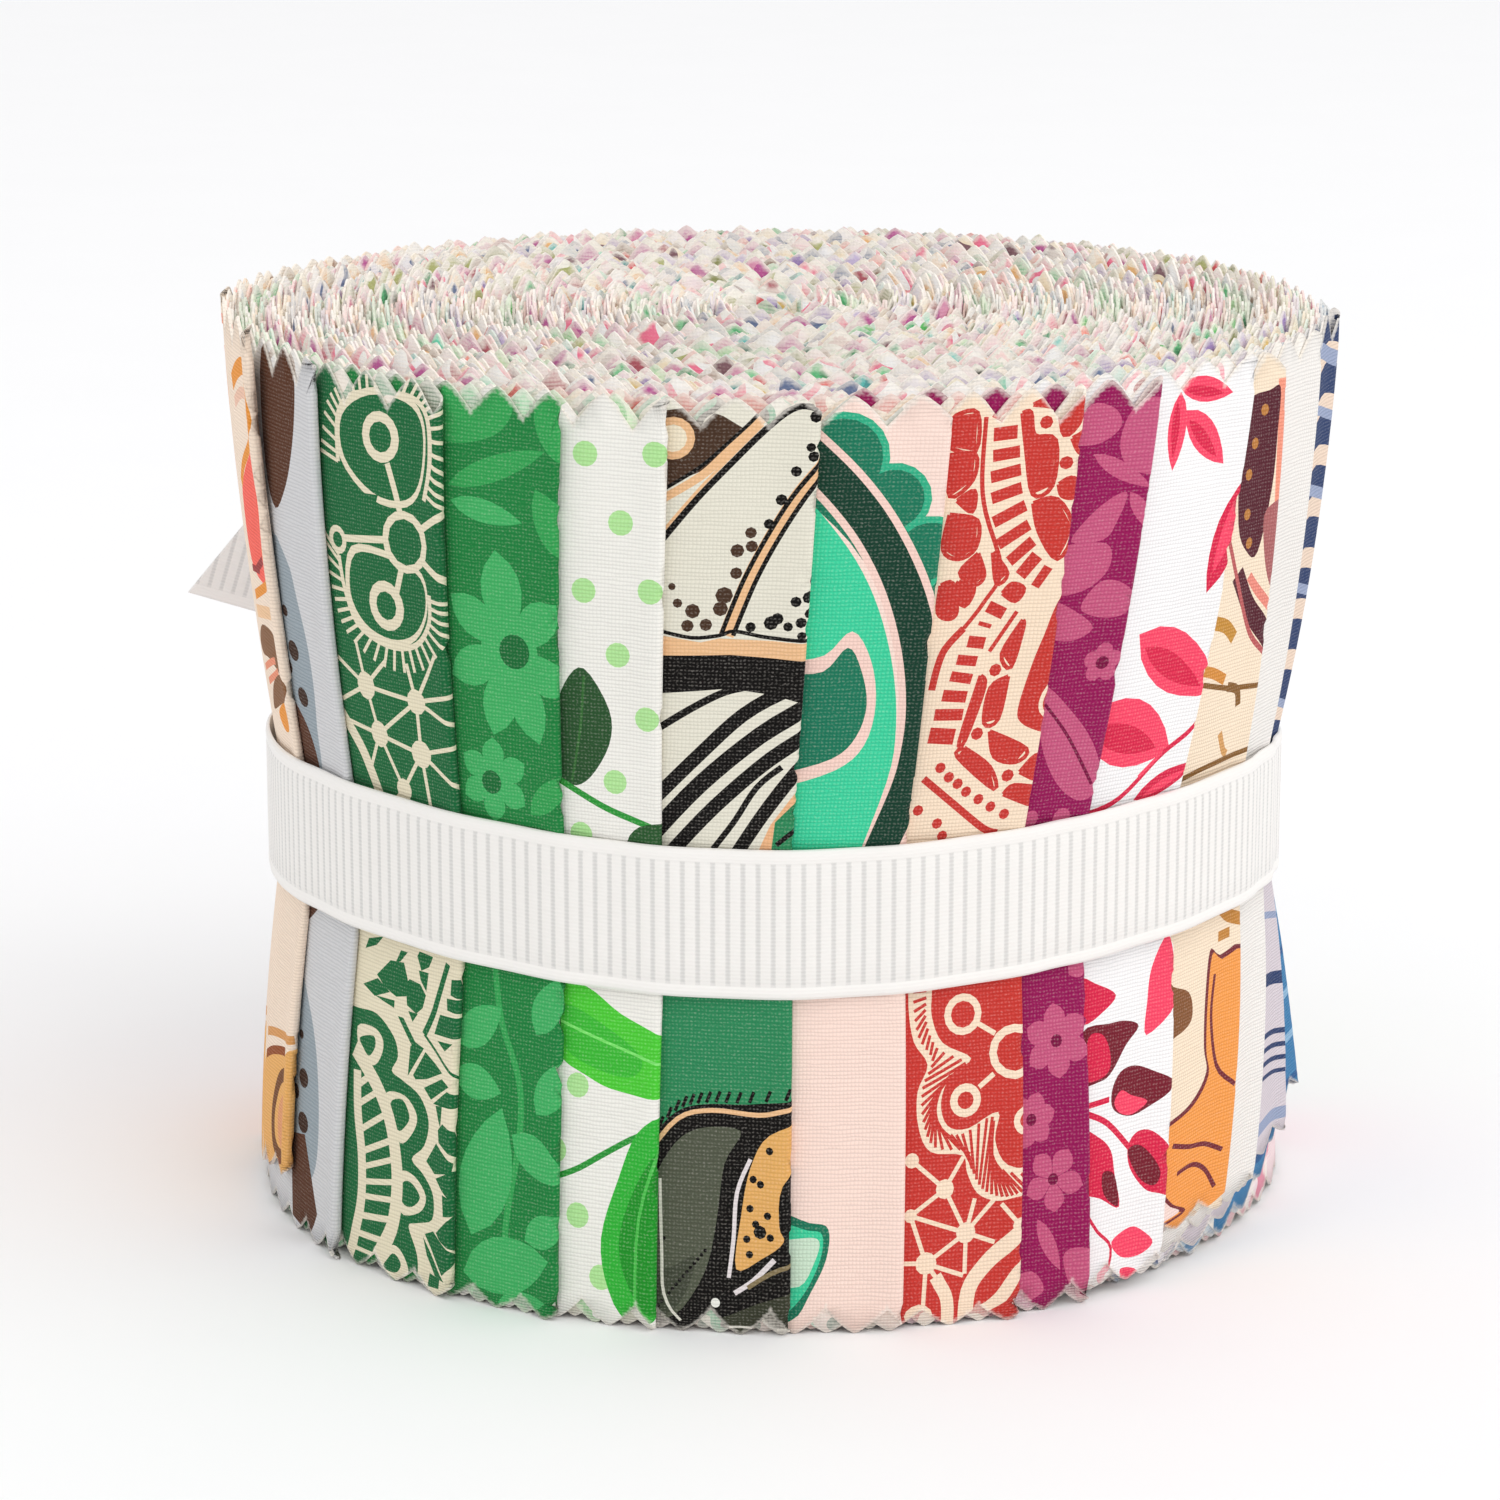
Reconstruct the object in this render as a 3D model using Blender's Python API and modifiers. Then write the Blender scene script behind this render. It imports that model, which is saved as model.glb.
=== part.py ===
"""A roll of pinked quilting strips, standing on its edge and bound round the waist with a ribbon.

Each strip is folded in half along its length, and all the strips are wound together as the arms
of one spiral, with the folds outermost. A folded strip is one thin wall. The ribbon is tied in a
knot at the back of the roll. Local coordinates have their origin at the foot of the roll's axis,
with the front of the roll at -Y.
"""

import math

import bmesh
import bpy
from mathutils import Vector

MM = 0.001

# The roll
STRIP_WIDTH = 63.5 * MM  # a 2.5 inch strip, standing on its pinked edge
CLOTH_THICKNESS = 0.22 * MM  # a folded strip, pressed flat
LAYER_PITCH = 0.375 * MM  # from one folded strip to the next
ROLL_RADIUS = 38.6 * MM
CORE_RADIUS = 3.2 * MM
STATIONS_PER_TURN = 18
FIRST_STATION = 11.2  # degrees, kept clear of every fold

# The ribbon
RIBBON_WIDTH = 10.2 * MM
RIBBON_THICKNESS = 0.35 * MM
RIBBON_HEIGHT = 28.0 * MM  # the middle of the band above the foot
RIBBON_GAP = 0.4 * MM  # between the roll and the band
BAND_STEPS = 72
KNOT_SIZE = (9.0 * MM, 5.0 * MM, 10.5 * MM)
JOINT_GAP = 0.3 * MM
LONG_TAIL_REACH = 46.8 * MM
SHORT_TAIL_REACH = 34.0 * MM

# The axis of the roll, set so that the middle of the whole footprint is at the origin
AXIS_X = 3.72 * MM
AXIS_Y = -2.63 * MM

# name, angle of the fold in degrees round the roll (0 at the front, rising towards +X), colour
STRIPS = [
    ("strip_coral_petals", -65.5, (0.86, 0.40, 0.24)),
    ("strip_grey_leaves", -53.2, (0.58, 0.59, 0.62)),
    ("strip_green_lace", -35.6, (0.02, 0.16, 0.05)),
    ("strip_green_foliage", -22.8, (0.02, 0.31, 0.08)),
    ("strip_dotted_leaves", -12.0, (0.86, 0.88, 0.83)),
    ("strip_butterfly_wing", 1.7, (0.45, 0.36, 0.22)),
    ("strip_teal_scallops", 13.7, (0.80, 0.60, 0.53)),
    ("strip_red_lace", 27.0, (0.52, 0.05, 0.04)),
    ("strip_magenta_petals", 35.1, (0.27, 0.02, 0.15)),
    ("strip_crimson_leaves", 49.2, (0.85, 0.78, 0.78)),
    ("strip_ochre_botanical", 64.4, (0.86, 0.50, 0.25)),
    ("strip_plain_cream", 74.0, (0.87, 0.83, 0.78)),
    ("strip_navy_blossom", 81.5, (0.05, 0.08, 0.20)),
    ("strip_blue_ripples", 94.0, (0.07, 0.25, 0.47)),
    ("strip_pink_lace", 108.5, (0.75, 0.26, 0.36)),
    ("strip_mint_dots", 127.0, (0.45, 0.75, 0.58)),
    ("strip_mustard_scallops", 144.5, (0.68, 0.40, 0.07)),
    ("strip_teal_foliage", 162.0, (0.02, 0.24, 0.24)),
    ("strip_lilac_petals", 179.0, (0.48, 0.34, 0.62)),
    ("strip_red_blossom", 196.0, (0.60, 0.04, 0.05)),
    ("strip_olive_leaves", 214.0, (0.26, 0.27, 0.08)),
    ("strip_navy_lace", 228.0, (0.03, 0.04, 0.14)),
    ("strip_rose_dots", 246.0, (0.83, 0.45, 0.48)),
    ("strip_apricot_botanical", 264.0, (0.86, 0.55, 0.32)),
]
FOLDS = [fold for _, fold, _ in STRIPS]

RIBBON_COLOUR = (0.85, 0.84, 0.82)


def clear_scene():
    for obj in list(bpy.data.objects):
        bpy.data.objects.remove(obj, do_unlink=True)


def new_material(name, colour, roughness):
    material = bpy.data.materials.new(name)
    material.use_nodes = True
    shader = material.node_tree.nodes["Principled BSDF"]
    shader.inputs["Base Color"].default_value = (*colour, 1.0)
    shader.inputs["Roughness"].default_value = roughness
    shader.inputs["Metallic"].default_value = 0.0
    return material


def add_part(name, mesh, material, collection, parent):
    part = bpy.data.objects.new(name, mesh)
    mesh.materials.append(material)
    collection.objects.link(part)
    part.parent = parent
    return part


def thicken(part, thickness):
    """Turns an open sheet into a closed wall, half its thickness on each side."""
    solidify = part.modifiers.new("cloth", "SOLIDIFY")
    solidify.thickness = thickness
    solidify.offset = 0.0
    solidify.use_even_offset = True
    solidify.use_rim = True


def upright_sheet(name, low_edge, high_edge):
    """The open sheet between two edges, made by drawing the low edge up to the high one."""
    mesh = bpy.data.meshes.new(name)
    work = bmesh.new()
    low = [work.verts.new(point) for point in low_edge]
    chain = [work.edges.new(pair) for pair in zip(low, low[1:])]
    drawn = bmesh.ops.extrude_edge_only(work, edges=chain)
    work.verts.index_update()
    raised = [item for item in drawn["geom"] if isinstance(item, bmesh.types.BMVert)]
    for low_point, high_point in zip(low_edge, high_edge):
        nearest = min(raised, key=lambda vert: (vert.co - low_point).length)
        nearest.co = high_point
        raised.remove(nearest)
    work.to_mesh(mesh)
    work.free()
    return mesh


def folds_passed(angle):
    """How many folds lie behind this angle, as a smooth count that grows by all of them each turn."""
    turns = math.floor((angle - FOLDS[0]) / 360.0)
    within = angle - 360.0 * turns
    ends = FOLDS + [FOLDS[0] + 360.0]
    for count, (start, end) in enumerate(zip(ends, ends[1:])):
        if start <= within <= end:
            part = (within - start) / (end - start)
            return turns * len(FOLDS) + count + part
    return (turns + 1) * len(FOLDS)


def arm_radius(index, angle):
    outermost = ROLL_RADIUS - CLOTH_THICKNESS / 2
    return outermost - LAYER_PITCH * (index - folds_passed(angle))


def polar(radius, angle):
    turn = math.radians(angle)
    return Vector((radius * math.sin(turn), -radius * math.cos(turn), 0.0))


def arm_path(index):
    """The foot of one strip, from the core out to its fold.

    Every arm bends at the same angles, so neighbouring arms lie parallel. The last point is on
    the straight line to the station past the fold.
    """
    step = 360.0 / STATIONS_PER_TURN
    fold = FOLDS[index]
    station = math.floor((fold - FIRST_STATION) / step)
    before = FIRST_STATION + step * station
    inner = polar(arm_radius(index, before), before)
    outer = polar(arm_radius(index, before + step), before + step)
    direction = polar(1.0, fold)
    across = Vector((direction.y, -direction.x, 0.0))
    share = inner.dot(across) / (inner.dot(across) - outer.dot(across))
    points = [inner.lerp(outer, share)]
    angle = before
    while arm_radius(index, angle) > CORE_RADIUS:
        points.append(polar(arm_radius(index, angle), angle))
        angle -= step
    return points[::-1]


def build_strip(index, collection, parent):
    name, _, colour = STRIPS[index]
    foot = arm_path(index)
    top = [point + Vector((0.0, 0.0, STRIP_WIDTH)) for point in foot]
    mesh = upright_sheet(name, foot, top)
    strip = add_part(name, mesh, new_material(name, colour, 0.85), collection, parent)
    thicken(strip, CLOTH_THICKNESS)
    return strip


def build_band(material, collection, parent):
    """The ribbon round the waist, as a flat ring."""
    inside = ROLL_RADIUS + RIBBON_GAP
    outside = inside + RIBBON_THICKNESS
    top = RIBBON_WIDTH / 2
    corners = [(outside, top), (outside, -top), (inside, -top), (inside, top)]
    mesh = bpy.data.meshes.new("ribbon_band")
    work = bmesh.new()
    verts = [work.verts.new((x, 0.0, z)) for x, z in corners]
    for start, end in zip(verts, verts[1:] + verts[:1]):
        work.edges.new((start, end))
    work.to_mesh(mesh)
    work.free()
    band = add_part("ribbon_band", mesh, material, collection, parent)
    band.location = (0.0, 0.0, RIBBON_HEIGHT)
    turned = band.modifiers.new("ring", "SCREW")
    turned.axis = "Z"
    turned.angle = math.tau
    turned.steps = BAND_STEPS
    turned.render_steps = BAND_STEPS
    turned.use_merge_vertices = True
    turned.merge_threshold = 0.00001
    return band


def knot_depth():
    """The distance from the axis to the middle of the knot."""
    return ROLL_RADIUS + RIBBON_GAP + RIBBON_THICKNESS + JOINT_GAP + KNOT_SIZE[1] / 2


def build_knot(material, collection, parent):
    """The knot at the back, a small pillow of cloth."""
    mesh = bpy.data.meshes.new("ribbon_knot")
    work = bmesh.new()
    bmesh.ops.create_cube(work, size=1.0)
    bmesh.ops.scale(work, vec=KNOT_SIZE, verts=work.verts)
    bmesh.ops.bevel(
        work,
        geom=list(work.edges),
        offset=1.4 * MM,
        segments=3,
        profile=0.5,
        affect="EDGES",
    )
    work.to_mesh(mesh)
    work.free()
    knot = add_part("ribbon_knot", mesh, material, collection, parent)
    knot.location = (0.0, knot_depth(), RIBBON_HEIGHT)
    return knot


def build_tail(name, side, reach, rise, sweep, material, collection, parent):
    """One loose end of the ribbon, which leaves the knot sideways and is cut on the slant."""
    start = KNOT_SIZE[0] / 2 + JOINT_GAP
    slant = 3.8 * MM
    steps = 8
    low_edge = []
    high_edge = []
    for i in range(steps + 1):
        part = i / steps
        out = start + (reach - start) * part
        depth = knot_depth() + sweep * math.sin(math.pi * part / 2)
        middle = RIBBON_HEIGHT + rise * part
        lean = slant * part**3
        low_edge.append(Vector((side * out, depth, middle - RIBBON_WIDTH / 2)))
        high_edge.append(Vector((side * (out - lean), depth, middle + RIBBON_WIDTH / 2)))
    tail = add_part(name, upright_sheet(name, low_edge, high_edge), material, collection, parent)
    thicken(tail, RIBBON_THICKNESS)
    return tail


def main():
    clear_scene()
    collection = bpy.data.collections.new("quilting_strip_roll")
    bpy.context.scene.collection.children.link(collection)

    axis = bpy.data.objects.new("roll_axis", None)
    axis.location = (AXIS_X, AXIS_Y, 0.0)
    collection.objects.link(axis)

    for index in range(len(STRIPS)):
        build_strip(index, collection, axis)

    ribbon = new_material("ribbon", RIBBON_COLOUR, 0.55)
    build_band(ribbon, collection, axis)
    build_knot(ribbon, collection, axis)
    build_tail(
        "ribbon_tail_long", -1, LONG_TAIL_REACH, 10.0 * MM, 1.2 * MM, ribbon, collection, axis
    )
    build_tail(
        "ribbon_tail_short", 1, SHORT_TAIL_REACH, -9.0 * MM, -1.5 * MM, ribbon, collection, axis
    )


main()
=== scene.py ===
"""The looks of a roll of pinked quilting strips, bound round the waist with a grosgrain ribbon.

Every strip is a real sheet of cloth: a long strip with pinked edges, folded in half along its
length, wound with the others as the arms of one spiral and pinched in by the ribbon. Its print is
drawn as outlines on the flat cloth, which the mesh then follows. Lengths are in millimetres and
angles round the roll in degrees (0 at the front, rising towards +X) until a mesh is made.
"""

import math

import bpy
import numpy as np
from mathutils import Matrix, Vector, geometry


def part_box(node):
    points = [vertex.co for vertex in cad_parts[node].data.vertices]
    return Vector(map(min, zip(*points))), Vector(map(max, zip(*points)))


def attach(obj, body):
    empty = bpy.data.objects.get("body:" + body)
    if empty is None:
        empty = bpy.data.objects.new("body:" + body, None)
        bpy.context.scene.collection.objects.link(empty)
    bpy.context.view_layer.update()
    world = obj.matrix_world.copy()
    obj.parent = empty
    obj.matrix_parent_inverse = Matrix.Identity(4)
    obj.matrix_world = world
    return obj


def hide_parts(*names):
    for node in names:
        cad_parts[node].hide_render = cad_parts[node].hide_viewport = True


MM = 0.001

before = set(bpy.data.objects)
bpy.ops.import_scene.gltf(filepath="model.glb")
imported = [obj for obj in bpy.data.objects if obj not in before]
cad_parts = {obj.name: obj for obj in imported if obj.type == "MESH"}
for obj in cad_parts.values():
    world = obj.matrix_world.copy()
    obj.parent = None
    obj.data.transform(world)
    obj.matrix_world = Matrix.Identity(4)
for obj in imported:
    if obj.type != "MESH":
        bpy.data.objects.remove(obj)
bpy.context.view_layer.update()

# The roll, as the CAD part has it
band_low, band_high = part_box("ribbon_band")
AXIS = np.array((band_low + band_high)[:2]) / 2 / MM
BAND_GAP = 0.4
BAND_THICKNESS = 0.35
ROLL_RADIUS = (band_high.x - band_low.x) / 2 / MM - BAND_GAP - BAND_THICKNESS
RIBBON_HEIGHT = (band_low.z + band_high.z) / 2 / MM
RIBBON_WIDTH = (band_high.z - band_low.z) / MM
STRIP_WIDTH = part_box("strip_green_lace")[1].z / MM
LAYER_PITCH = 0.375  # from one folded strip to the next
CORE_RADIUS = 2.2

# The cloth
CLOTH_THICKNESS = 0.15
TOOTH_PITCH = 4.1
TOOTH_DEPTH = 2.0
TOOTH_POWER = 1.3  # above 1 rounds the tips
THREAD_PITCH = 0.26
FOLD_BULGE = 0.45  # how far a fold puffs up where the ribbon doesn't press it

# The shape that the ribbon gives the roll
WAIST_TOP = 33.0
WAIST_FOOT = 23.0
WAIST_RADIUS = 36.0
TOP_FLARE = 3.15
FOOT_FLARE = 1.7
FLARE_POWER = 1.6
FOOT_PRESS = 0.6  # how far the roll's weight squashes the foot

# Where a strip's print is drawn: from the fold, over the outside and round to the inside
DRAWN_OUTSIDE = 21.0
DRAWN_INSIDE = 2.5

CELL_GROWTH = 1.3  # how far the green lace leaves its cells open

# How far, in millimetres, each effect reaches before it fades
PRESS_REACH = 9.0  # the ribbon's pressure on a fold, above and below the ribbon's middle
LEAN_REACH = 45.0  # a strip's lean, along the cloth from its fold
PUFF_REACH = 1.3  # a fold's puff
CORE_REACH = 12.0  # the oval shape of the core
WOUND_REACH = 30.0  # the part of a strip that isn't wound in yet
FOOT_RISE_REACH = 12.0  # the lift of a strip's foot at its fold


def ink(code):
    """The linear colour of an sRGB code such as "c9cacd"."""
    channels = [int(code[i : i + 2], 16) / 255 for i in (0, 2, 4)]
    return tuple(c / 12.92 if c <= 0.04045 else ((c + 0.055) / 1.055) ** 2.4 for c in channels)


# ---------------------------------------------------------------------------------------------
# Drawing a print
# ---------------------------------------------------------------------------------------------


def curve(points, closed):
    """A smooth curve through the points, four steps from each to the next."""
    points = np.array(points, float)
    if closed:
        before = np.roll(points, 1, axis=0)
        after = np.roll(points, -1, axis=0)
        last = np.roll(points, -2, axis=0)
    else:
        padded = np.concatenate([points[:1], points, points[-1:]])
        before, points, after, last = padded[:-3], padded[1:-2], padded[2:-1], padded[3:]
    out = []
    for t in (0.0, 0.25, 0.5, 0.75):
        out.append(
            0.5
            * (
                2 * points
                + (after - before) * t
                + (2 * before - 5 * points + 4 * after - last) * t**2
                + (3 * points - before - 3 * after + last) * t**3
            )
        )
    through = np.stack(out, axis=1).reshape(-1, 2)
    return through if closed else np.concatenate([through, after[-1:]])


class Artwork:
    """A print, as closed outlines that are painted one over another on the flat cloth.

    A place is (x, z): x from the fold, negative on the outside of the roll, and z from the foot.
    """

    def __init__(self, ground):
        self.ground = ink(ground)
        self.shapes = []

    def patch(self, colour, *corners):
        self.shapes.append((np.array(corners, float), ink(colour)))

    def blob(self, colour, *points):
        self.patch(colour, *curve(points, closed=True))

    def disc(self, colour, x, z, radius, tall=1.0, sides=12):
        turn = np.arange(sides) * math.tau / sides
        self.patch(colour, *zip(x + radius * np.cos(turn), z + radius * tall * np.sin(turn)))

    def discs(self, colour, radius, *places):
        for x, z in places:
            self.disc(colour, x, z, radius, sides=8 if radius < 0.5 else 12)

    def ring(self, colour, inside, x, z, outer, inner):
        self.disc(colour, x, z, outer, sides=16)
        self.disc(inside, x, z, inner)

    def line(self, colour, width, *points):
        """A stroke of even width along a smooth route."""
        route = curve(points, closed=False) if len(points) > 2 else np.array(points, float)
        along = np.gradient(route, axis=0)
        across = np.stack([-along[:, 1], along[:, 0]], axis=1)
        across *= width / 2 / np.maximum(np.linalg.norm(across, axis=1, keepdims=True), 1e-6)
        self.patch(colour, *np.concatenate([route + across, (route - across)[::-1]]))

    def leaf(self, colour, base, tip, width, belly=0.45):
        """A leaf from base to tip, at its widest this share of the way along."""
        base, tip = np.array(base, float), np.array(tip, float)
        along = tip - base
        across = np.array([-along[1], along[0]]) / np.linalg.norm(along)
        share = np.linspace(0.0, 1.0, 8)
        swell = np.sin(math.pi * share ** (math.log(0.5) / math.log(belly))) ** 0.8 * width / 2
        middle = base + along * share[:, None]
        left = middle + across * swell[:, None]
        right = middle - across * swell[:, None]
        self.patch(colour, *np.concatenate([left, right[-2:0:-1]]))

    def flower(self, colour, x, z, petals, radius, fatness=0.75, turn=0.0):
        for i in range(petals):
            angle = turn + math.tau * i / petals
            tip = (x + radius * math.cos(angle), z + radius * math.sin(angle))
            self.leaf(colour, (x, z), tip, radius * fatness, belly=0.62)

    def repeat(self, aside):
        """Draws the whole print again beside itself, and under it."""
        again = [(outline + [aside, 0.0], colour) for outline, colour in self.shapes]
        self.shapes = again + self.shapes

    def ticks(self, colour, width, inner, outer, count):
        """Short strokes from one smooth route across to another."""
        inner = curve(inner, closed=False)
        outer = curve(outer, closed=False)
        for share in (np.arange(count) + 0.5) / count:
            start = inner[int(share * (len(inner) - 1))]
            end = outer[int(share * (len(outer) - 1))]
            self.line(colour, width, start, end)


# ---------------------------------------------------------------------------------------------
# The prints
#
# Most of these outlines were read off the photograph on a millimetre grid, and they follow its
# fabrics closely. report.md says which under "Open matters", and what would make them generic.
# ---------------------------------------------------------------------------------------------


def print_petals(ground, bright, dark, middle):
    """Loose petals and sepals in a hot colour on a pale ground."""
    art = Artwork(ground)
    art.line(middle, 1.2, (-7, 58.7), (-4.5, 59.9), (-2.2, 60.4), (-1.3, 59), (-0.8, 57.2), (-1.3, 56.2))
    art.line("f4c8b0", 0.8, (-6.5, 57.4), (-4, 58.4), (-2.4, 58.6))
    art.blob(
        bright, (-7.4, 51), (-5.5, 52.7), (-3, 54.3), (-1.2, 55), (-0.4, 52), (-0.8, 48), (-2, 45.6),
        (-7, 46.6),
    )
    art.line(middle, 0.8, (-7.2, 51.8), (-5.5, 53.3), (-3, 54.8), (-1.5, 55.9))
    art.line(dark, 0.6, (-5, 46.2), (-2.5, 47.3))
    art.line(dark, 0.5, (-7, 46), (-4, 46.3))
    art.line(middle, 0.7, (-1, 48.5), (-1.8, 46), (-4, 45), (-7.5, 44))
    art.line("f6cba0", 0.9, (-8, 42.8), (-1.4, 43.8))
    art.blob("8a6040", (-9, 40.5), (-6, 42.2), (-2, 42.2), (-1.2, 41), (-1.6, 39.6), (-5, 40), (-8, 39.8))
    art.line("f09878", 0.5, (-8, 38.8), (-4, 40), (-3, 40.2))
    art.line("f09878", 0.5, (-7, 38), (-4, 39), (-2.5, 39.6))
    art.blob("8a6040", (-5, 38.2), (-2, 39.5), (-0.3, 39.3), (-0.6, 38), (-3, 37.2), (-6.5, 36.2))
    art.blob(middle, (-4.5, 36.3), (-2, 37.5), (-0.9, 36.8), (-1.2, 35.8), (-3, 35.3))
    art.line("e0a060", 0.7, (-9, 11), (-5.8, 11.5), (-2, 11.9), (0, 12.2))
    art.blob("f0b468", (-10, 8.6), (-5, 10), (-1.5, 10.6), (0.6, 10.8), (0.6, 1), (-3, -0.6), (-9, 0))
    art.line("9a5020", 0.7, (-9, 9.2), (-6, 10), (-1.5, 10.8))
    art.line(
        "7a4a26", 1.1, (-1.5, 9), (-3, 8.4), (-4.1, 7.2), (-5, 5.2), (-4.7, 3.2), (-3.2, 2.2),
        (-1, 2.4),
    )
    art.blob("e8a070", (-1.2, 7.2), (-3, 6.4), (-3.5, 4.9), (-3, 3.3), (-1.2, 3))
    art.line("8a4a20", 0.8, (-8.5, -0.6), (-6.5, -0.2), (-4, 0.9), (-1.5, 1.9))
    art.repeat(-11)
    return art


def print_grey_leaves(ground, brown, patch, spot):
    """Broad brown leaves and blue-grey patches with dark spots."""
    art = Artwork(ground)
    leaf = ((-8.6, 62.8), (-4.5, 63.4), (-3.1, 62), (-3, 60), (-3.7, 57), (-5.2, 54), (-7.6, 52), (-9, 55))
    art.blob(brown, *leaf)
    art.blob(
        patch, (-9.5, 49), (-6.3, 48.5), (-5.2, 46), (-4.3, 43), (-4.1, 40), (-4.5, 37), (-5.2, 33),
        (-10, 32),
    )
    art.blob(brown, (-10, 38), (-7, 37.2), (-5.4, 35), (-5.6, 32.5), (-10, 32))
    for x, z, radius in ((-8, 44.7, 0.6), (-7.2, 42, 1.05), (-6.5, 38.8, 1.0), (-8.8, 40.6, 0.8)):
        art.disc(spot, x, z, radius, tall=0.7)
    art.blob(patch, (-9.5, 17.5), (-7, 16.5), (-5, 13.5), (-4, 9.5), (-4.2, 6), (-6, 4.6), (-10, 6))
    for x, z, radius in ((-8.3, 14.1, 0.5), (-7.3, 11.3, 1.0), (-7, 8.3, 1.1), (-8.9, 10, 0.8)):
        art.disc(spot, x, z, radius, tall=0.65)
    art.patch(brown, (-9.4, 7), (-6.5, 7.6), (-5, 5.2), (-3.7, 2.8), (-5, 0.5), (-8.8, 1))
    art.patch(brown, (-9.8, 21.3), (-8.5, 22.3), (-6, 23.9), (-5.6, 25), (-9.8, 25))
    return art


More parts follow.
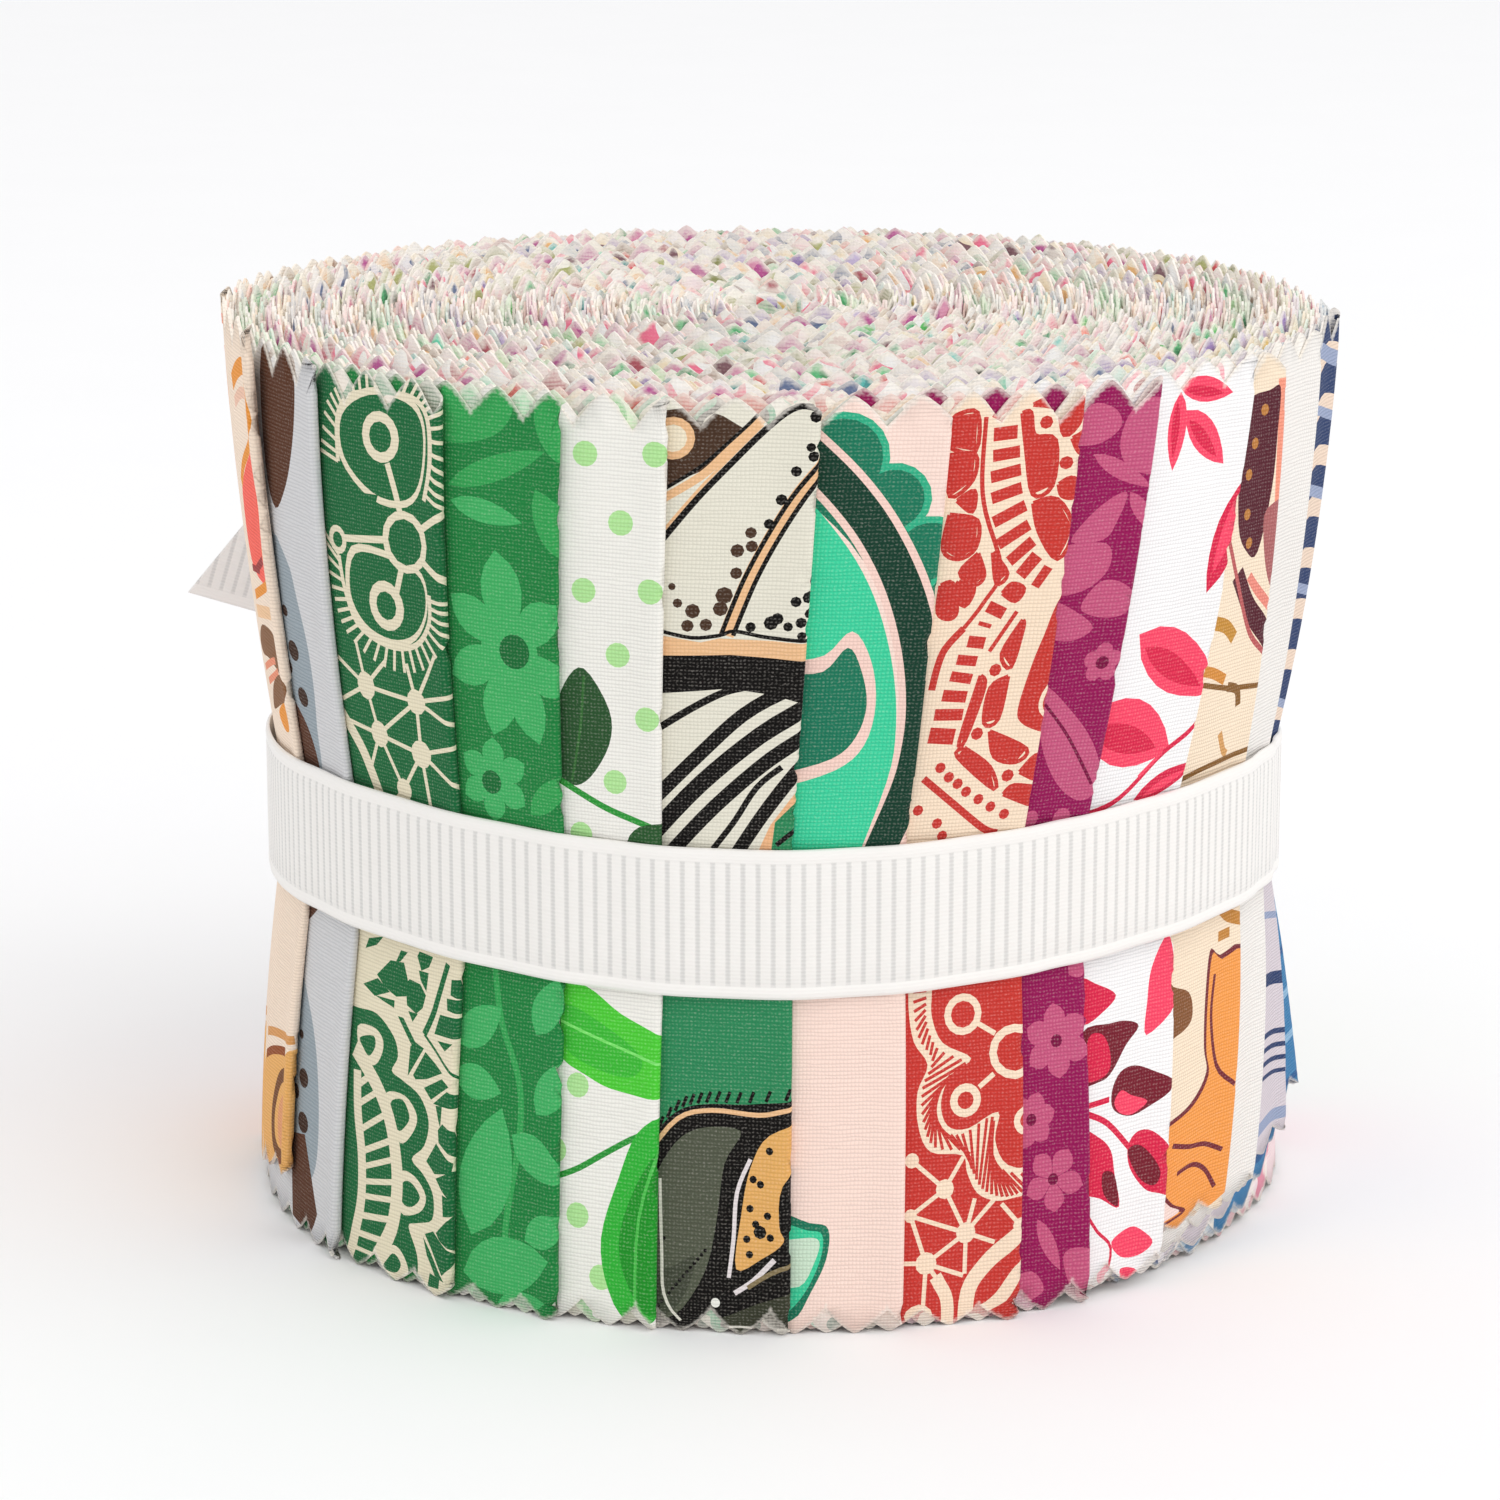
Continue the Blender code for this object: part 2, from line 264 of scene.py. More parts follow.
def print_lace(green, cream):
    """Bobbin lace: ringed lobes, a net of knots and scalloped loops."""
    art = Artwork(green)
    # The collar of ticks round the three lobes
    collar = ((-12, 57.5), (-11, 61), (-9, 62.6), (-6, 63.4), (-2, 63.4), (0.3, 61.6), (0.6, 57), (0, 54.6))
    inner = (
        (-10, 57), (-9.9, 60), (-8.6, 61.6), (-6, 62.1), (-2.8, 62.2), (-1.1, 61), (-0.9, 58),
        (-1.6, 55.4),
    )
    art.ticks(cream, 0.27, inner, collar, 46)
    art.line(cream, 0.4, *curve(inner, False))
    low_collar = ((-12.4, 52), (-11.8, 48), (-10.5, 45), (-6.5, 43.2), (-2.5, 43.6), (0.2, 46.2), (0.6, 49))
    low_inner = ((-10.6, 50.4), (-10.2, 48), (-9, 45.8), (-6, 44.8), (-3.2, 45.2), (-1.6, 47), (-1.4, 49))
    art.ticks(cream, 0.27, low_inner, low_collar, 40)
    art.line(cream, 0.4, *curve(low_inner, False))
    # The upper and lower lobes, each with a ring
    upper = (
        (-6.5, 55.3), (-9.3, 57.4), (-9.4, 60.2), (-6.6, 61.9), (-3.2, 61.8), (-1.6, 60.2), (-1.9, 57),
        (-3.4, 55.2),
    )
    art.blob(cream, *((x * 1.09 + 0.4, (z - 58.5) * 1.14 + 58.5) for x, z in upper))
    art.blob(green, *upper)
    lower = (
        (-8.7, 50.8), (-9.6, 48), (-8.2, 46), (-5.5, 45.3), (-3.2, 46), (-1.9, 48), (-2.3, 50),
        (-5, 50.9),
    )
    art.blob(cream, *((x * 1.09 + 0.4, (z - 48.2) * 1.18 + 48.2) for x, z in lower))
    art.blob(green, *lower)
    art.patch(green, (-11.6, 52.9), (-7, 52.6), (-6, 55.2), (-11.4, 55))
    art.line(cream, 0.5, (-5, 57.5), (-4.3, 55.5), (-3.9, 54))
    art.line(cream, 0.5, (-4, 50.6), (-4.7, 48.6))
    art.line(cream, 0.5, (-5.6, 52.2), (-9, 51.8), (-11.4, 51.6))
    art.line(cream, 0.5, (-2, 53.4), (0.6, 55))
    art.line(cream, 0.5, (-2, 51.2), (0.6, 49.8))
    art.ring(cream, green, -5.6, 59.2, 1.75, 1.05)
    art.ring(cream, green, -5.8, 47.6, 1.75, 1.0)
    art.ring(cream, green, -3.6, 52.3, 2.15, 1.6)
    art.ring(cream, green, -10.6, 51.5, 1.0, 0.55)
    # The net of knots above the ribbon
    knots = ((-8.8, 41.5, 1.0), (-3.5, 41.2, 0.9), (-7.8, 38.2, 0.95), (-3.4, 37.5, 1.0), (-5.6, 34.6, 0.8))
    ends = (
        ((-8.8, 41.5), ((-3.5, 41.2), (-7.8, 38.2), (-9.5, 44.5), (-12, 43), (-12, 40), (-6.4, 43.6))),
        ((-3.5, 41.2), ((-3.4, 37.5), (-1.2, 44.8), (-4.2, 43.8), (0.4, 42.2), (0.4, 40), (-7.8, 38.2))),
        ((-7.8, 38.2), ((-3.4, 37.5), (-5.6, 34.6), (-9.3, 35.5), (-12, 38.6))),
        ((-3.4, 37.5), ((0.4, 38.6), (0.2, 35.6), (-5.6, 34.6), (-2.8, 33))),
        ((-5.6, 34.6), ((-8, 32.6), (-4, 32), (-6.4, 32))),
    )
    for start, others in ends:
        for end in others:
            art.line(cream, 0.32, start, end)
    for x, z, radius in knots:
        art.disc(cream, x, z, radius)
    art.line(cream, 1.0, (-12.4, 39), (-10.4, 37), (-9.4, 35.4), (-8, 32.5))
    # Below the ribbon the cloth is cream, with cells of green between its bars
    art.patch(cream, (-14, 25), (1.4, 25), (1.4, -1), (-14, -1))
    for cell in (
        ((-8.7, 20.9), (-7.5, 21.9), (-6.3, 22), (-5.8, 21), (-5.9, 20.3), (-6.8, 20.1), (-7.9, 20.4)),
        ((-10.5, 19.9), (-9.1, 20.5), (-7.9, 20), (-9.3, 19.5)),
        ((-9, 19.4), (-7.1, 19.5), (-7.1, 19.1)),
        ((-5.5, 20.8), (-5.2, 21.1), (-4.3, 21), (-3.8, 20.5), (-4, 19.8), (-4.5, 19.4), (-5.3, 19.7)),
        ((-4.5, 23), (-4.3, 23.3), (-3.2, 23.2), (-3.5, 22.6), (-4.1, 22.3)),
        ((-4.3, 22), (-3.5, 22), (-3.6, 21), (-4.1, 21.5)),
        ((-6.9, 22.3), (-6.5, 23), (-5.9, 23), (-6.5, 22.4)),
        ((-10.7, 22.5), (-10.4, 23.1), (-8.9, 23.5), (-9.6, 22.9)),
        ((-5.2, 19.1), (-4.4, 19.1), (-4.8, 18.6)),
        ((-4.8, 16.7), (-4.4, 17), (-3.7, 16.8), (-4.9, 15.1)),
        ((-4.2, 15), (-3.3, 16.4), (-1.8, 15.6), (-3.1, 15), (-4, 14.8)),
        ((-3, 14.3), (-1.5, 15.1), (-0.9, 14.8), (-2.4, 13.8)),
        ((-1.9, 13.5), (-0.7, 14.4), (0.2, 14.2), (0.2, 13.6)),
        ((-6.2, 18.4), (-5.7, 18.4), (-4.6, 17.3), (-4.9, 17.1)),
        ((-1.9, 13.2), (-1.3, 13.3), (-1.4, 12.2), (-1.6, 12.5)),
        ((-1.4, 11.7), (-1, 12.1), (-0.2, 11.8), (0.1, 11.2), (0.1, 10.4), (-1.3, 11.1)),
        ((-2.5, 9.5), (-1.7, 10.6), (-0.4, 9.8), (-0.5, 9.3), (-1.8, 9)),
        ((-1.4, 8.5), (-0.2, 9.1), (0.6, 9), (0.6, 7.1), (-0.8, 8)),
        ((-0.8, 7.5), (0.1, 7.3), (0.1, 6.5), (-0.7, 6.4)),
        ((-1.3, 5), (-0.1, 6.1), (0.6, 6.1), (0.6, 4), (-1, 4.7)),
        ((-2.5, 4.4), (-1.8, 4.7), (0.1, 3.6), (-1, 2.6)),
        ((-2.8, 4), (-1, 2), (-1.8, 2.2), (-2.5, 3.1)),
        ((-2.4, 0.8), (-2.2, 1.9), (-1.3, 1.8), (-1.4, 1)),
        ((-0.8, 22), (-0.2, 22.1), (0.2, 21), (-0.8, 21.2)),
        ((-1.1, 20.7), (0.2, 20.8), (0.2, 20), (-1, 20.1)),
        ((-2.1, 18.3), (-1.7, 19.4), (0.2, 19.5), (0.2, 18.4)),
        ((-1.9, 17.7), (-0.6, 17.8), (-1.2, 17.3)),
    ):
        middle = np.mean(cell, axis=0)
        art.patch(green, *(middle + CELL_GROWTH * (np.array(cell) - middle)))
    art.line(green, 0.5, (-1.4, 23.1), (-2.2, 20.8), (-2.7, 19.4), (-3.5, 17.9))
    art.line(green, 0.2, (-3.5, 17.9), (-1.8, 16.7), (0.3, 15.4))
    # A green scalloped band down the middle, with a petal in each scallop
    scallops = (
        (-14, 18), (-11.3, 18.1), (-8.9, 18.2), (-6.8, 17.1), (-6.2, 15.8), (-6.8, 14.7), (-5.6, 14.3),
        (-3.7, 13.6), (-2.7, 12.1), (-3.1, 10.4), (-4.3, 9.3), (-3.1, 8.5), (-2, 7.3), (-2.1, 5.7),
        (-3.7, 5.1), (-4.5, 4.7), (-3.6, 2.9), (-3.7, 1), (-4.6, 0),
    )
    art.patch(green, *curve(scallops, False), (-14, -1))
    for petal, drop in (
        (((-11.3, 16.8), (-9.3, 17.2), (-8.1, 16.7), (-8, 15.7), (-8.9, 14.6), (-10.6, 14.8)),
         ((-10.9, 16.1), (-9.2, 16.6), (-8.9, 15.9), (-9.6, 15.1), (-10.4, 15.5))),
        (((-7.3, 13.1), (-5.2, 13.3), (-3.9, 12.2), (-4.4, 10.9), (-5.6, 10.1), (-6.9, 11.6)),
         ((-6.8, 12.5), (-5.5, 13), (-4.7, 12.1), (-5, 11.4), (-5.9, 10.9))),
        (((-5.5, 8.1), (-4, 8.2), (-2.8, 7.1), (-3.4, 5.9), (-5.4, 5.5)),
         ((-5.2, 7.5), (-4.3, 7.7), (-3.4, 6.9), (-4.2, 6.1), (-5.2, 6.2))),
        (((-7.6, 1.4), (-6.4, 3), (-5.2, 2.8), (-4.5, 1.5), (-5.5, 0.1)),
         ((-7.2, 1.2), (-6.2, 2.5), (-5.3, 2), (-5.7, 1), (-6.6, 0.8))),
    ):
        art.blob(cream, *petal)
        art.blob(green, *drop)
    # The ladder at its left
    art.line(
        cream, 1.2, (-11.5, 15.2), (-8.7, 13.5), (-6.9, 11.5), (-6, 9), (-5.8, 6.7), (-6.3, 4.2),
        (-7.9, 1.8), (-9, 0),
    )
    art.line(cream, 1.0, (-11, 13.8), (-10.7, 11.1), (-10, 8.3), (-9.9, 5.4), (-10.6, 2.9), (-11.6, 0))
    for width, start, end in (
        (0.5, (-10.7, 12.9), (-9.3, 13.8)),
        (0.45, (-10.6, 11.6), (-8.2, 13)),
        (0.45, (-10.3, 9.9), (-7.2, 11.7)),
        (0.45, (-9.8, 8.6), (-6.7, 10)),
        (0.4, (-9.6, 7.6), (-6.4, 8.8)),
        (0.4, (-9.5, 6.6), (-6.3, 7.3)),
        (0.4, (-9.5, 5.6), (-6.3, 6.1)),
        (0.45, (-9.9, 4.2), (-6.6, 4.7)),
        (0.45, (-10.4, 2.9), (-7, 3.1)),
        (0.45, (-10.9, 1.7), (-8, 1.8)),
    ):
        art.line(cream, width, start, end)
    return art


def print_foliage(base, leaf, light, dark):
    """Tone-on-tone leaves and star flowers."""
    art = Artwork(base)
    art.blob(leaf, (-9, 63), (-6, 64), (-3.6, 62.4), (-5, 60.2), (-9, 59.6))
    art.leaf(leaf, (-1.5, 63.6), (0.6, 58.5), 2.6)
    art.leaf(leaf, (-8.6, 56.6), (-1, 59.6), 1.7)
    art.leaf(light, (-8.4, 55.6), (-2.8, 54.6), 1.6)
    art.leaf(leaf, (-1.8, 57), (1, 52), 2.4)
    for tip, width in (
        ((-4.9, 52.6), 3.2),
        ((-8.6, 49.2), 2.6),
        ((-8.8, 43.6), 2.8),
        ((-5.4, 39.8), 2.8),
        ((-1.6, 39.6), 2.8),
        ((0.8, 43.4), 2.6),
        ((-0.2, 49.4), 2.8),
    ):
        art.leaf(light, (-3.8, 45.8), tip, width, belly=0.6)
    art.disc(light, -3.9, 45.8, 2.3, sides=16)
    art.disc(dark, -3.5, 45.8, 1.2, sides=14)
    art.flower(light, -5.6, 36.6, 6, 3.0, 0.62, turn=0.5)
    art.disc(dark, -5.8, 36.4, 0.85)
    art.leaf(leaf, (-2.6, 34.5), (0.6, 37.6), 1.8)
    art.line(leaf, 0.5, (-6, 24), (-5.2, 20), (-3.5, 16), (-3.4, 12), (-4.4, 6), (-4.2, 0))
    for base_at, tip, width in (
        ((-2.2, 19.4), (-0.4, 23.4), 2.4),
        ((-2, 14), (0.6, 18), 2.4),
        ((-4, 12.4), (0.4, 9.8), 2.5),
        ((-9, 17.8), (-5.2, 20.8), 2.6),
        ((-9.2, 15.8), (-5, 15), 2.4),
        ((-7.3, 5.2), (-4.9, 14), 4.4),
        ((-2.8, 5.6), (0.6, 7.4), 2.2),
        ((-8, 2.6), (-0.7, 4.6), 4.0),
        ((-5, 0.6), (-1, 1.6), 2.0),
    ):
        art.leaf(light, base_at, tip, width)
    return art


def print_dotted_leaves(ground, dot, bright, dark, stem):
    """Small dots with big leaves on thin stems."""
    art = Artwork(ground)
    for x, z in (
        (-5.6, 59.5),
        (-0.9, 59.8),
        (-3.1, 55.1),
        (-5.6, 50.4),
        (-1.0, 50.7),
        (-3.2, 46.2),
        (-1.1, 42),
        (-3.4, 37.4),
        (-6.0, 33.5),
        (-6.2, 16.3),
        (-6, 7.7),
        (-4.2, 3.8),
        (-7.8, 42.2),
        (-7.8, 11.8),
    ):
        art.disc(dot, x, z, 0.85, sides=14)
    leaf = (
        (-6.6, 36.9), (-5.2, 37.6), (-3.8, 40), (-3.8, 42.4), (-5.6, 45.1), (-7, 44), (-8, 41),
        (-7.8, 38),
    )
    art.blob(dark, *leaf)
    art.line("3a7038", 0.18, (-6.6, 37.2), (-5.9, 41), (-5.6, 44.6))
    art.line(stem, 0.45, (-8, 37.4), (-6.4, 36.6), (-3.8, 35.4), (-0.6, 34.4), (0.8, 34))
    art.blob("2c5a30", (-1.6, 34.4), (0.8, 34.6), (0.8, 32.6), (-2.4, 33))
    big = (
        (-8.6, 23.2), (-5.7, 23), (-3, 21.4), (0, 20.2), (1.4, 19), (1, 16.2), (-3, 16.2), (-5.5, 17),
        (-8, 18.6),
    )
    art.blob(bright, *big)
    art.blob("3fbf3a", (-7.4, 21.6), (-4.4, 20.6), (-1.4, 18.6), (-2.4, 17.2), (-5.6, 17.8), (-7.4, 19))
    art.line("7fe870", 0.2, (-8, 20.6), (-4, 19.4), (1, 18))
    art.line(stem, 0.4, (-7.8, 10), (-6, 10.8), (-4, 12), (-1.5, 13.4), (0.8, 14.2))
    low = ((0.6, 14.4), (-1.6, 13.6), (-3, 10.4), (-4.2, 6.4), (-3.6, 3), (-1.7, 0.3), (0.4, 2.2), (1.6, 8))
    art.blob("34b83c", *low)
    art.blob("22982c", (0.8, 13), (-1.2, 11), (-2.8, 7), (-2.4, 4), (-0.4, 1.6), (1.2, 4), (1.6, 9))
    art.line("52c454", 0.22, (0.4, 13.8), (-1.4, 8), (-1.6, 1.4))
    return art


def print_butterfly_wing(ground, black, tan, green):
    """A butterfly's wing, veined and spotted, with the edge of another below it."""
    art = Artwork(ground)
    brown = "4a3426"
    # The upper wing
    art.patch(brown, (-9.8, 62.6), (-8, 62.9), (-6.2, 62.3), (-4.7, 61.4), (-7, 58.9), (-9.8, 57.6))
    art.ring(tan, "f6ead0", -9.3, 60.8, 1.4, 0.9)
    art.line(tan, 0.55, (-9.8, 56.8), (-7.4, 58.4), (-6, 59.8), (-4.5, 61.4), (-3, 62.9))
    art.line(black, 0.24, (-9.8, 57.4), (-7.6, 58.9), (-6.2, 60.2), (-4.6, 61.8), (-3.6, 63))
    art.line(
        black, 0.42, (-9.8, 54), (-7.6, 56.9), (-5.6, 59.2), (-3.6, 61.4), (-2, 62.8), (-0.8, 63),
        (1, 62.2),
    )
    art.line(tan, 0.2, (-9.6, 54.8), (-7.6, 57.4), (-5.6, 59.7), (-3.7, 61.8))
    vein = ((0.8, 60.6), (-0.2, 59.2), (-1.6, 57.2), (-3.1, 54.4), (-4.3, 51.8), (-5.1, 49.6), (-5.7, 47.8))
    art.line(tan, 1.0, *((x + 0.35, z) for x, z in vein))
    art.line(black, 0.3, *vein)
    art.line(black, 0.3, *((x + 0.8, z) for x, z in vein))
    dots = (
        (-0.5, 62.4, 0.4), (-0.7, 60.4, 0.3), (-0.5, 59.8, 0.35), (-1.5, 58.8, 0.35), (-2.3, 56.9, 0.38),
        (-3, 55.3, 0.34), (-4.1, 54.7, 0.38), (-4.9, 53.5, 0.45), (-4, 53.8, 0.4), (-4.9, 52, 0.4),
        (-5.6, 50.5, 0.58), (-5.8, 49.6, 0.5), (-8.6, 49.9, 0.32), (-7.6, 49.4, 0.5), (-7.9, 48.4, 0.42),
        (-6.7, 48.5, 0.42), (-9, 51, 0.25), (-3.8, 48.4, 0.35), (-2.5, 48.7, 0.48), (-2.1, 49, 0.4),
        (-1.4, 48.5, 0.32), (-0.6, 48.8, 0.36), (-1, 50.2, 0.36), (-0.2, 50.5, 0.42), (-0.1, 49.4, 0.34),
        (0.1, 51.6, 0.32), (-0.5, 47.9, 0.3),
    )  # fmt: skip
    for x, z, radius in dots:
        art.disc(black if x > -4 else brown, x, z, radius, sides=8)
    art.patch(
        tan, (-9.8, 47.7), (-7, 47.3), (-5.8, 47.6), (-2.5, 47.5), (1.2, 47.3), (1.2, 46), (-4, 46.2),
        (-9.8, 46.2),
    )
    art.line(black, 0.26, (-9.8, 48), (-7.6, 47.6), (-5.8, 47.8), (-4.8, 48.1), (-2.5, 47.7), (1.2, 47.5))
    art.patch(black, (-9.8, 46.3), (-5, 46.5), (1.2, 46.1), (1.2, 43), (-2, 43.8), (-5, 44.2), (-9.8, 43.7))
    # Its striped lower half
    for width, route in (
        (0.5, ((-9.8, 41.2), (-7.4, 42.8), (-5.4, 43.9), (-4, 44.3))),
        (0.95, ((-9.8, 36.4), (-6.8, 39.6), (-4, 42.4), (-1.2, 44.2))),
        (1.2, ((-9.8, 34), (-6.6, 37.6), (-2.8, 41), (1.2, 43.8))),
        (1.0, ((-8.6, 32.6), (-5.6, 36), (-2, 39.4), (1.2, 41.8))),
        (0.42, ((-5.6, 33), (-4.2, 35), (-2.8, 37.4), (-1.2, 38.9))),
        (0.95, ((-4, 32.6), (-2.2, 35.6), (-0.2, 38.6), (1.2, 40.2))),
    ):
        art.line(black, width, *route)
    art.patch(
        "f0b888", (-2.8, 32), (-1.7, 34.8), (0, 37.4), (1.2, 38.8), (1.2, 36.8), (-0.6, 34.4),
        (-1.2, 32),
    )
    art.patch(green, (-1.4, 35), (0.2, 36.8), (1.4, 37), (1.2, 32), (-1.6, 32.4))
    art.line(black, 0.35, (-1.2, 33.4), (0.2, 34.6), (1.4, 35))
    # The second wing, on plain green
    art.patch(green, (-10.2, 25), (1.6, 25), (1.6, 15.4), (-10.2, 14))
    art.patch(
        black, *curve(((-10.4, 12.6), (-8.2, 15), (-6, 15.7), (-3, 15.8), (1.8, 16.4)), False),
        (1.8, -1), (-10.4, -1),
    )
    rim = curve(((-10.2, 12.8), (-8.2, 15.1), (-6, 15.8), (-3, 15.9), (1.6, 16.5)), False)
    for i in range(0, len(rim) - 1):
        x, z = rim[i]
        art.line(black, 0.24, (x, z), (x + 0.3, z + 0.75))
    art.line(tan, 0.32, (-10.2, 12), (-8, 14.6), (-5.6, 15.3), (-2.4, 15.1), (-0.6, 15.5), (1.6, 15.9))
    art.blob(
        "555a4a", (-9.9, 9), (-8.6, 12.4), (-6.6, 14), (-3.6, 14), (-4.7, 11.8), (-5.2, 8), (-6, 4.6),
        (-8, 1.6), (-10, 1),
    )
    art.blob("454a3c", (-9.6, 4), (-8, 5), (-6.6, 5.6), (-7.4, 3), (-9, 1.4))
    for i in range(16):
        art.disc(black, -9.2 + 0.25 * i % 3.4, 2.2 + 0.3 * i, 0.14, sides=6)
    art.line("e8e4d8", 0.22, (-9.2, 10.6), (-9, 6), (-8.8, 3), (-7.6, 1))
    art.line("e8dfe0", 0.28, (-2.9, 12.2), (-3.8, 10), (-4, 7), (-4.3, 4.4))
    art.line("e8dfe0", 0.34, (-3.9, 3.4), (-2.6, 4.3), (-1.2, 5.8))
    art.blob(
        "e8b066", (-3.8, 5), (-3.5, 8.5), (-2.9, 11.6), (-1.6, 13.8), (1.4, 14.8), (1.4, 13),
        (-0.7, 10.6), (-0.9, 8), (-0.6, 7), (-2, 5.8),
    )
    art.discs(
        black, 0.26, (-3.1, 7), (-2.5, 8), (-2.9, 9), (-2.2, 10.6), (-2.7, 10.9), (-1.6, 12.8),
        (-1.7, 8.6), (-2.9, 6), (-1.5, 7.2),
    )
    art.disc(black, -2.2, 7.5, 0.45, sides=8)
    art.blob("3c3f30", (-6, 0.4), (-3.6, 2.2), (1.4, 3.8), (1.4, 0.2), (-2, -0.4))
    art.line("e8e4d8", 0.2, (-6.4, 0.3), (-3.5, 0.8), (1, 0.5))
    art.line("8a7a58", 0.3, (-3, 3.8), (-0.8, 5.2), (1.4, 5.6))
    art.disc("f0f0e8", -5.2, 2.7, 0.32)
    return art


def print_scallops(ground, mint, band, teal, line, rim):
    """A great leaf edged with scallops, sweeping down the strip."""
    art = Artwork(ground)
    for colour, grow in ((rim, 0.45), (teal, 0.0)):
        art.disc(colour, -7, 59.4, 2.7 + grow, sides=20)
        art.disc(colour, -3.5, 56.7, 2.0 + grow, sides=18)
        art.disc(colour, -0.9, 53.3, 1.9 + grow, sides=18)
        art.disc(colour, 0.4, 50.2, 1.2 + grow)
    art.blob(teal, (-9, 58), (-6, 59), (-3, 55.5), (-0.6, 51.5), (-2, 49), (-6, 54), (-9, 57))
    route = (
        (-9.4, 60.2), (-6.7, 57.6), (-4.3, 54.6), (-2.3, 51), (-0.9, 47), (-0.2, 43), (-0.2, 39.6),
        (-0.7, 36.6), (-2.2, 32),
    )
    art.line(line, 3.2, *route)
    art.line(band, 2.25, *route)
    inside = (
        (-9.6, 57.4), (-8, 56), (-5.5, 52.8), (-3.7, 49.4), (-2.4, 45.4), (-1.8, 41.4), (-2, 37.6),
        (-3.8, 31),
    )
    art.patch(mint, *curve(inside, False), (-9.6, 31))
    big = (
        (-9.6, 46), (-7, 46.4), (-5.3, 48), (-3.9, 46), (-3.3, 43), (-3.8, 40.2), (-5.6, 38.5),
        (-9.6, 37.2),
    )
    art.patch(line, *curve(big, False))
    small = (
        (-9.6, 45.2), (-7, 45.3), (-5.5, 46.9), (-4.5, 45.4), (-3.9, 43), (-4.4, 40.8), (-5.9, 39.3),
        (-9.6, 38.2),
    )
    art.patch(teal, *curve(small, False))
    art.blob(teal, (-9.6, 8.2), (-6.6, 8), (-5.3, 7.6), (-5.4, 5.6), (-6.4, 3.4), (-7.6, 1.4), (-9.6, 0.8))
    art.blob(mint, (-9.4, 7.6), (-6.7, 7.5), (-5.7, 7.2), (-5.8, 5.6), (-6.8, 3.4), (-8.2, 1.9), (-9.6, 1.8))
    art.blob("cfe8d0", (-9.4, 6.4), (-7, 7), (-5.9, 6.8), (-6.2, 5.4), (-7.2, 3.8), (-9.4, 4.2))
    return art


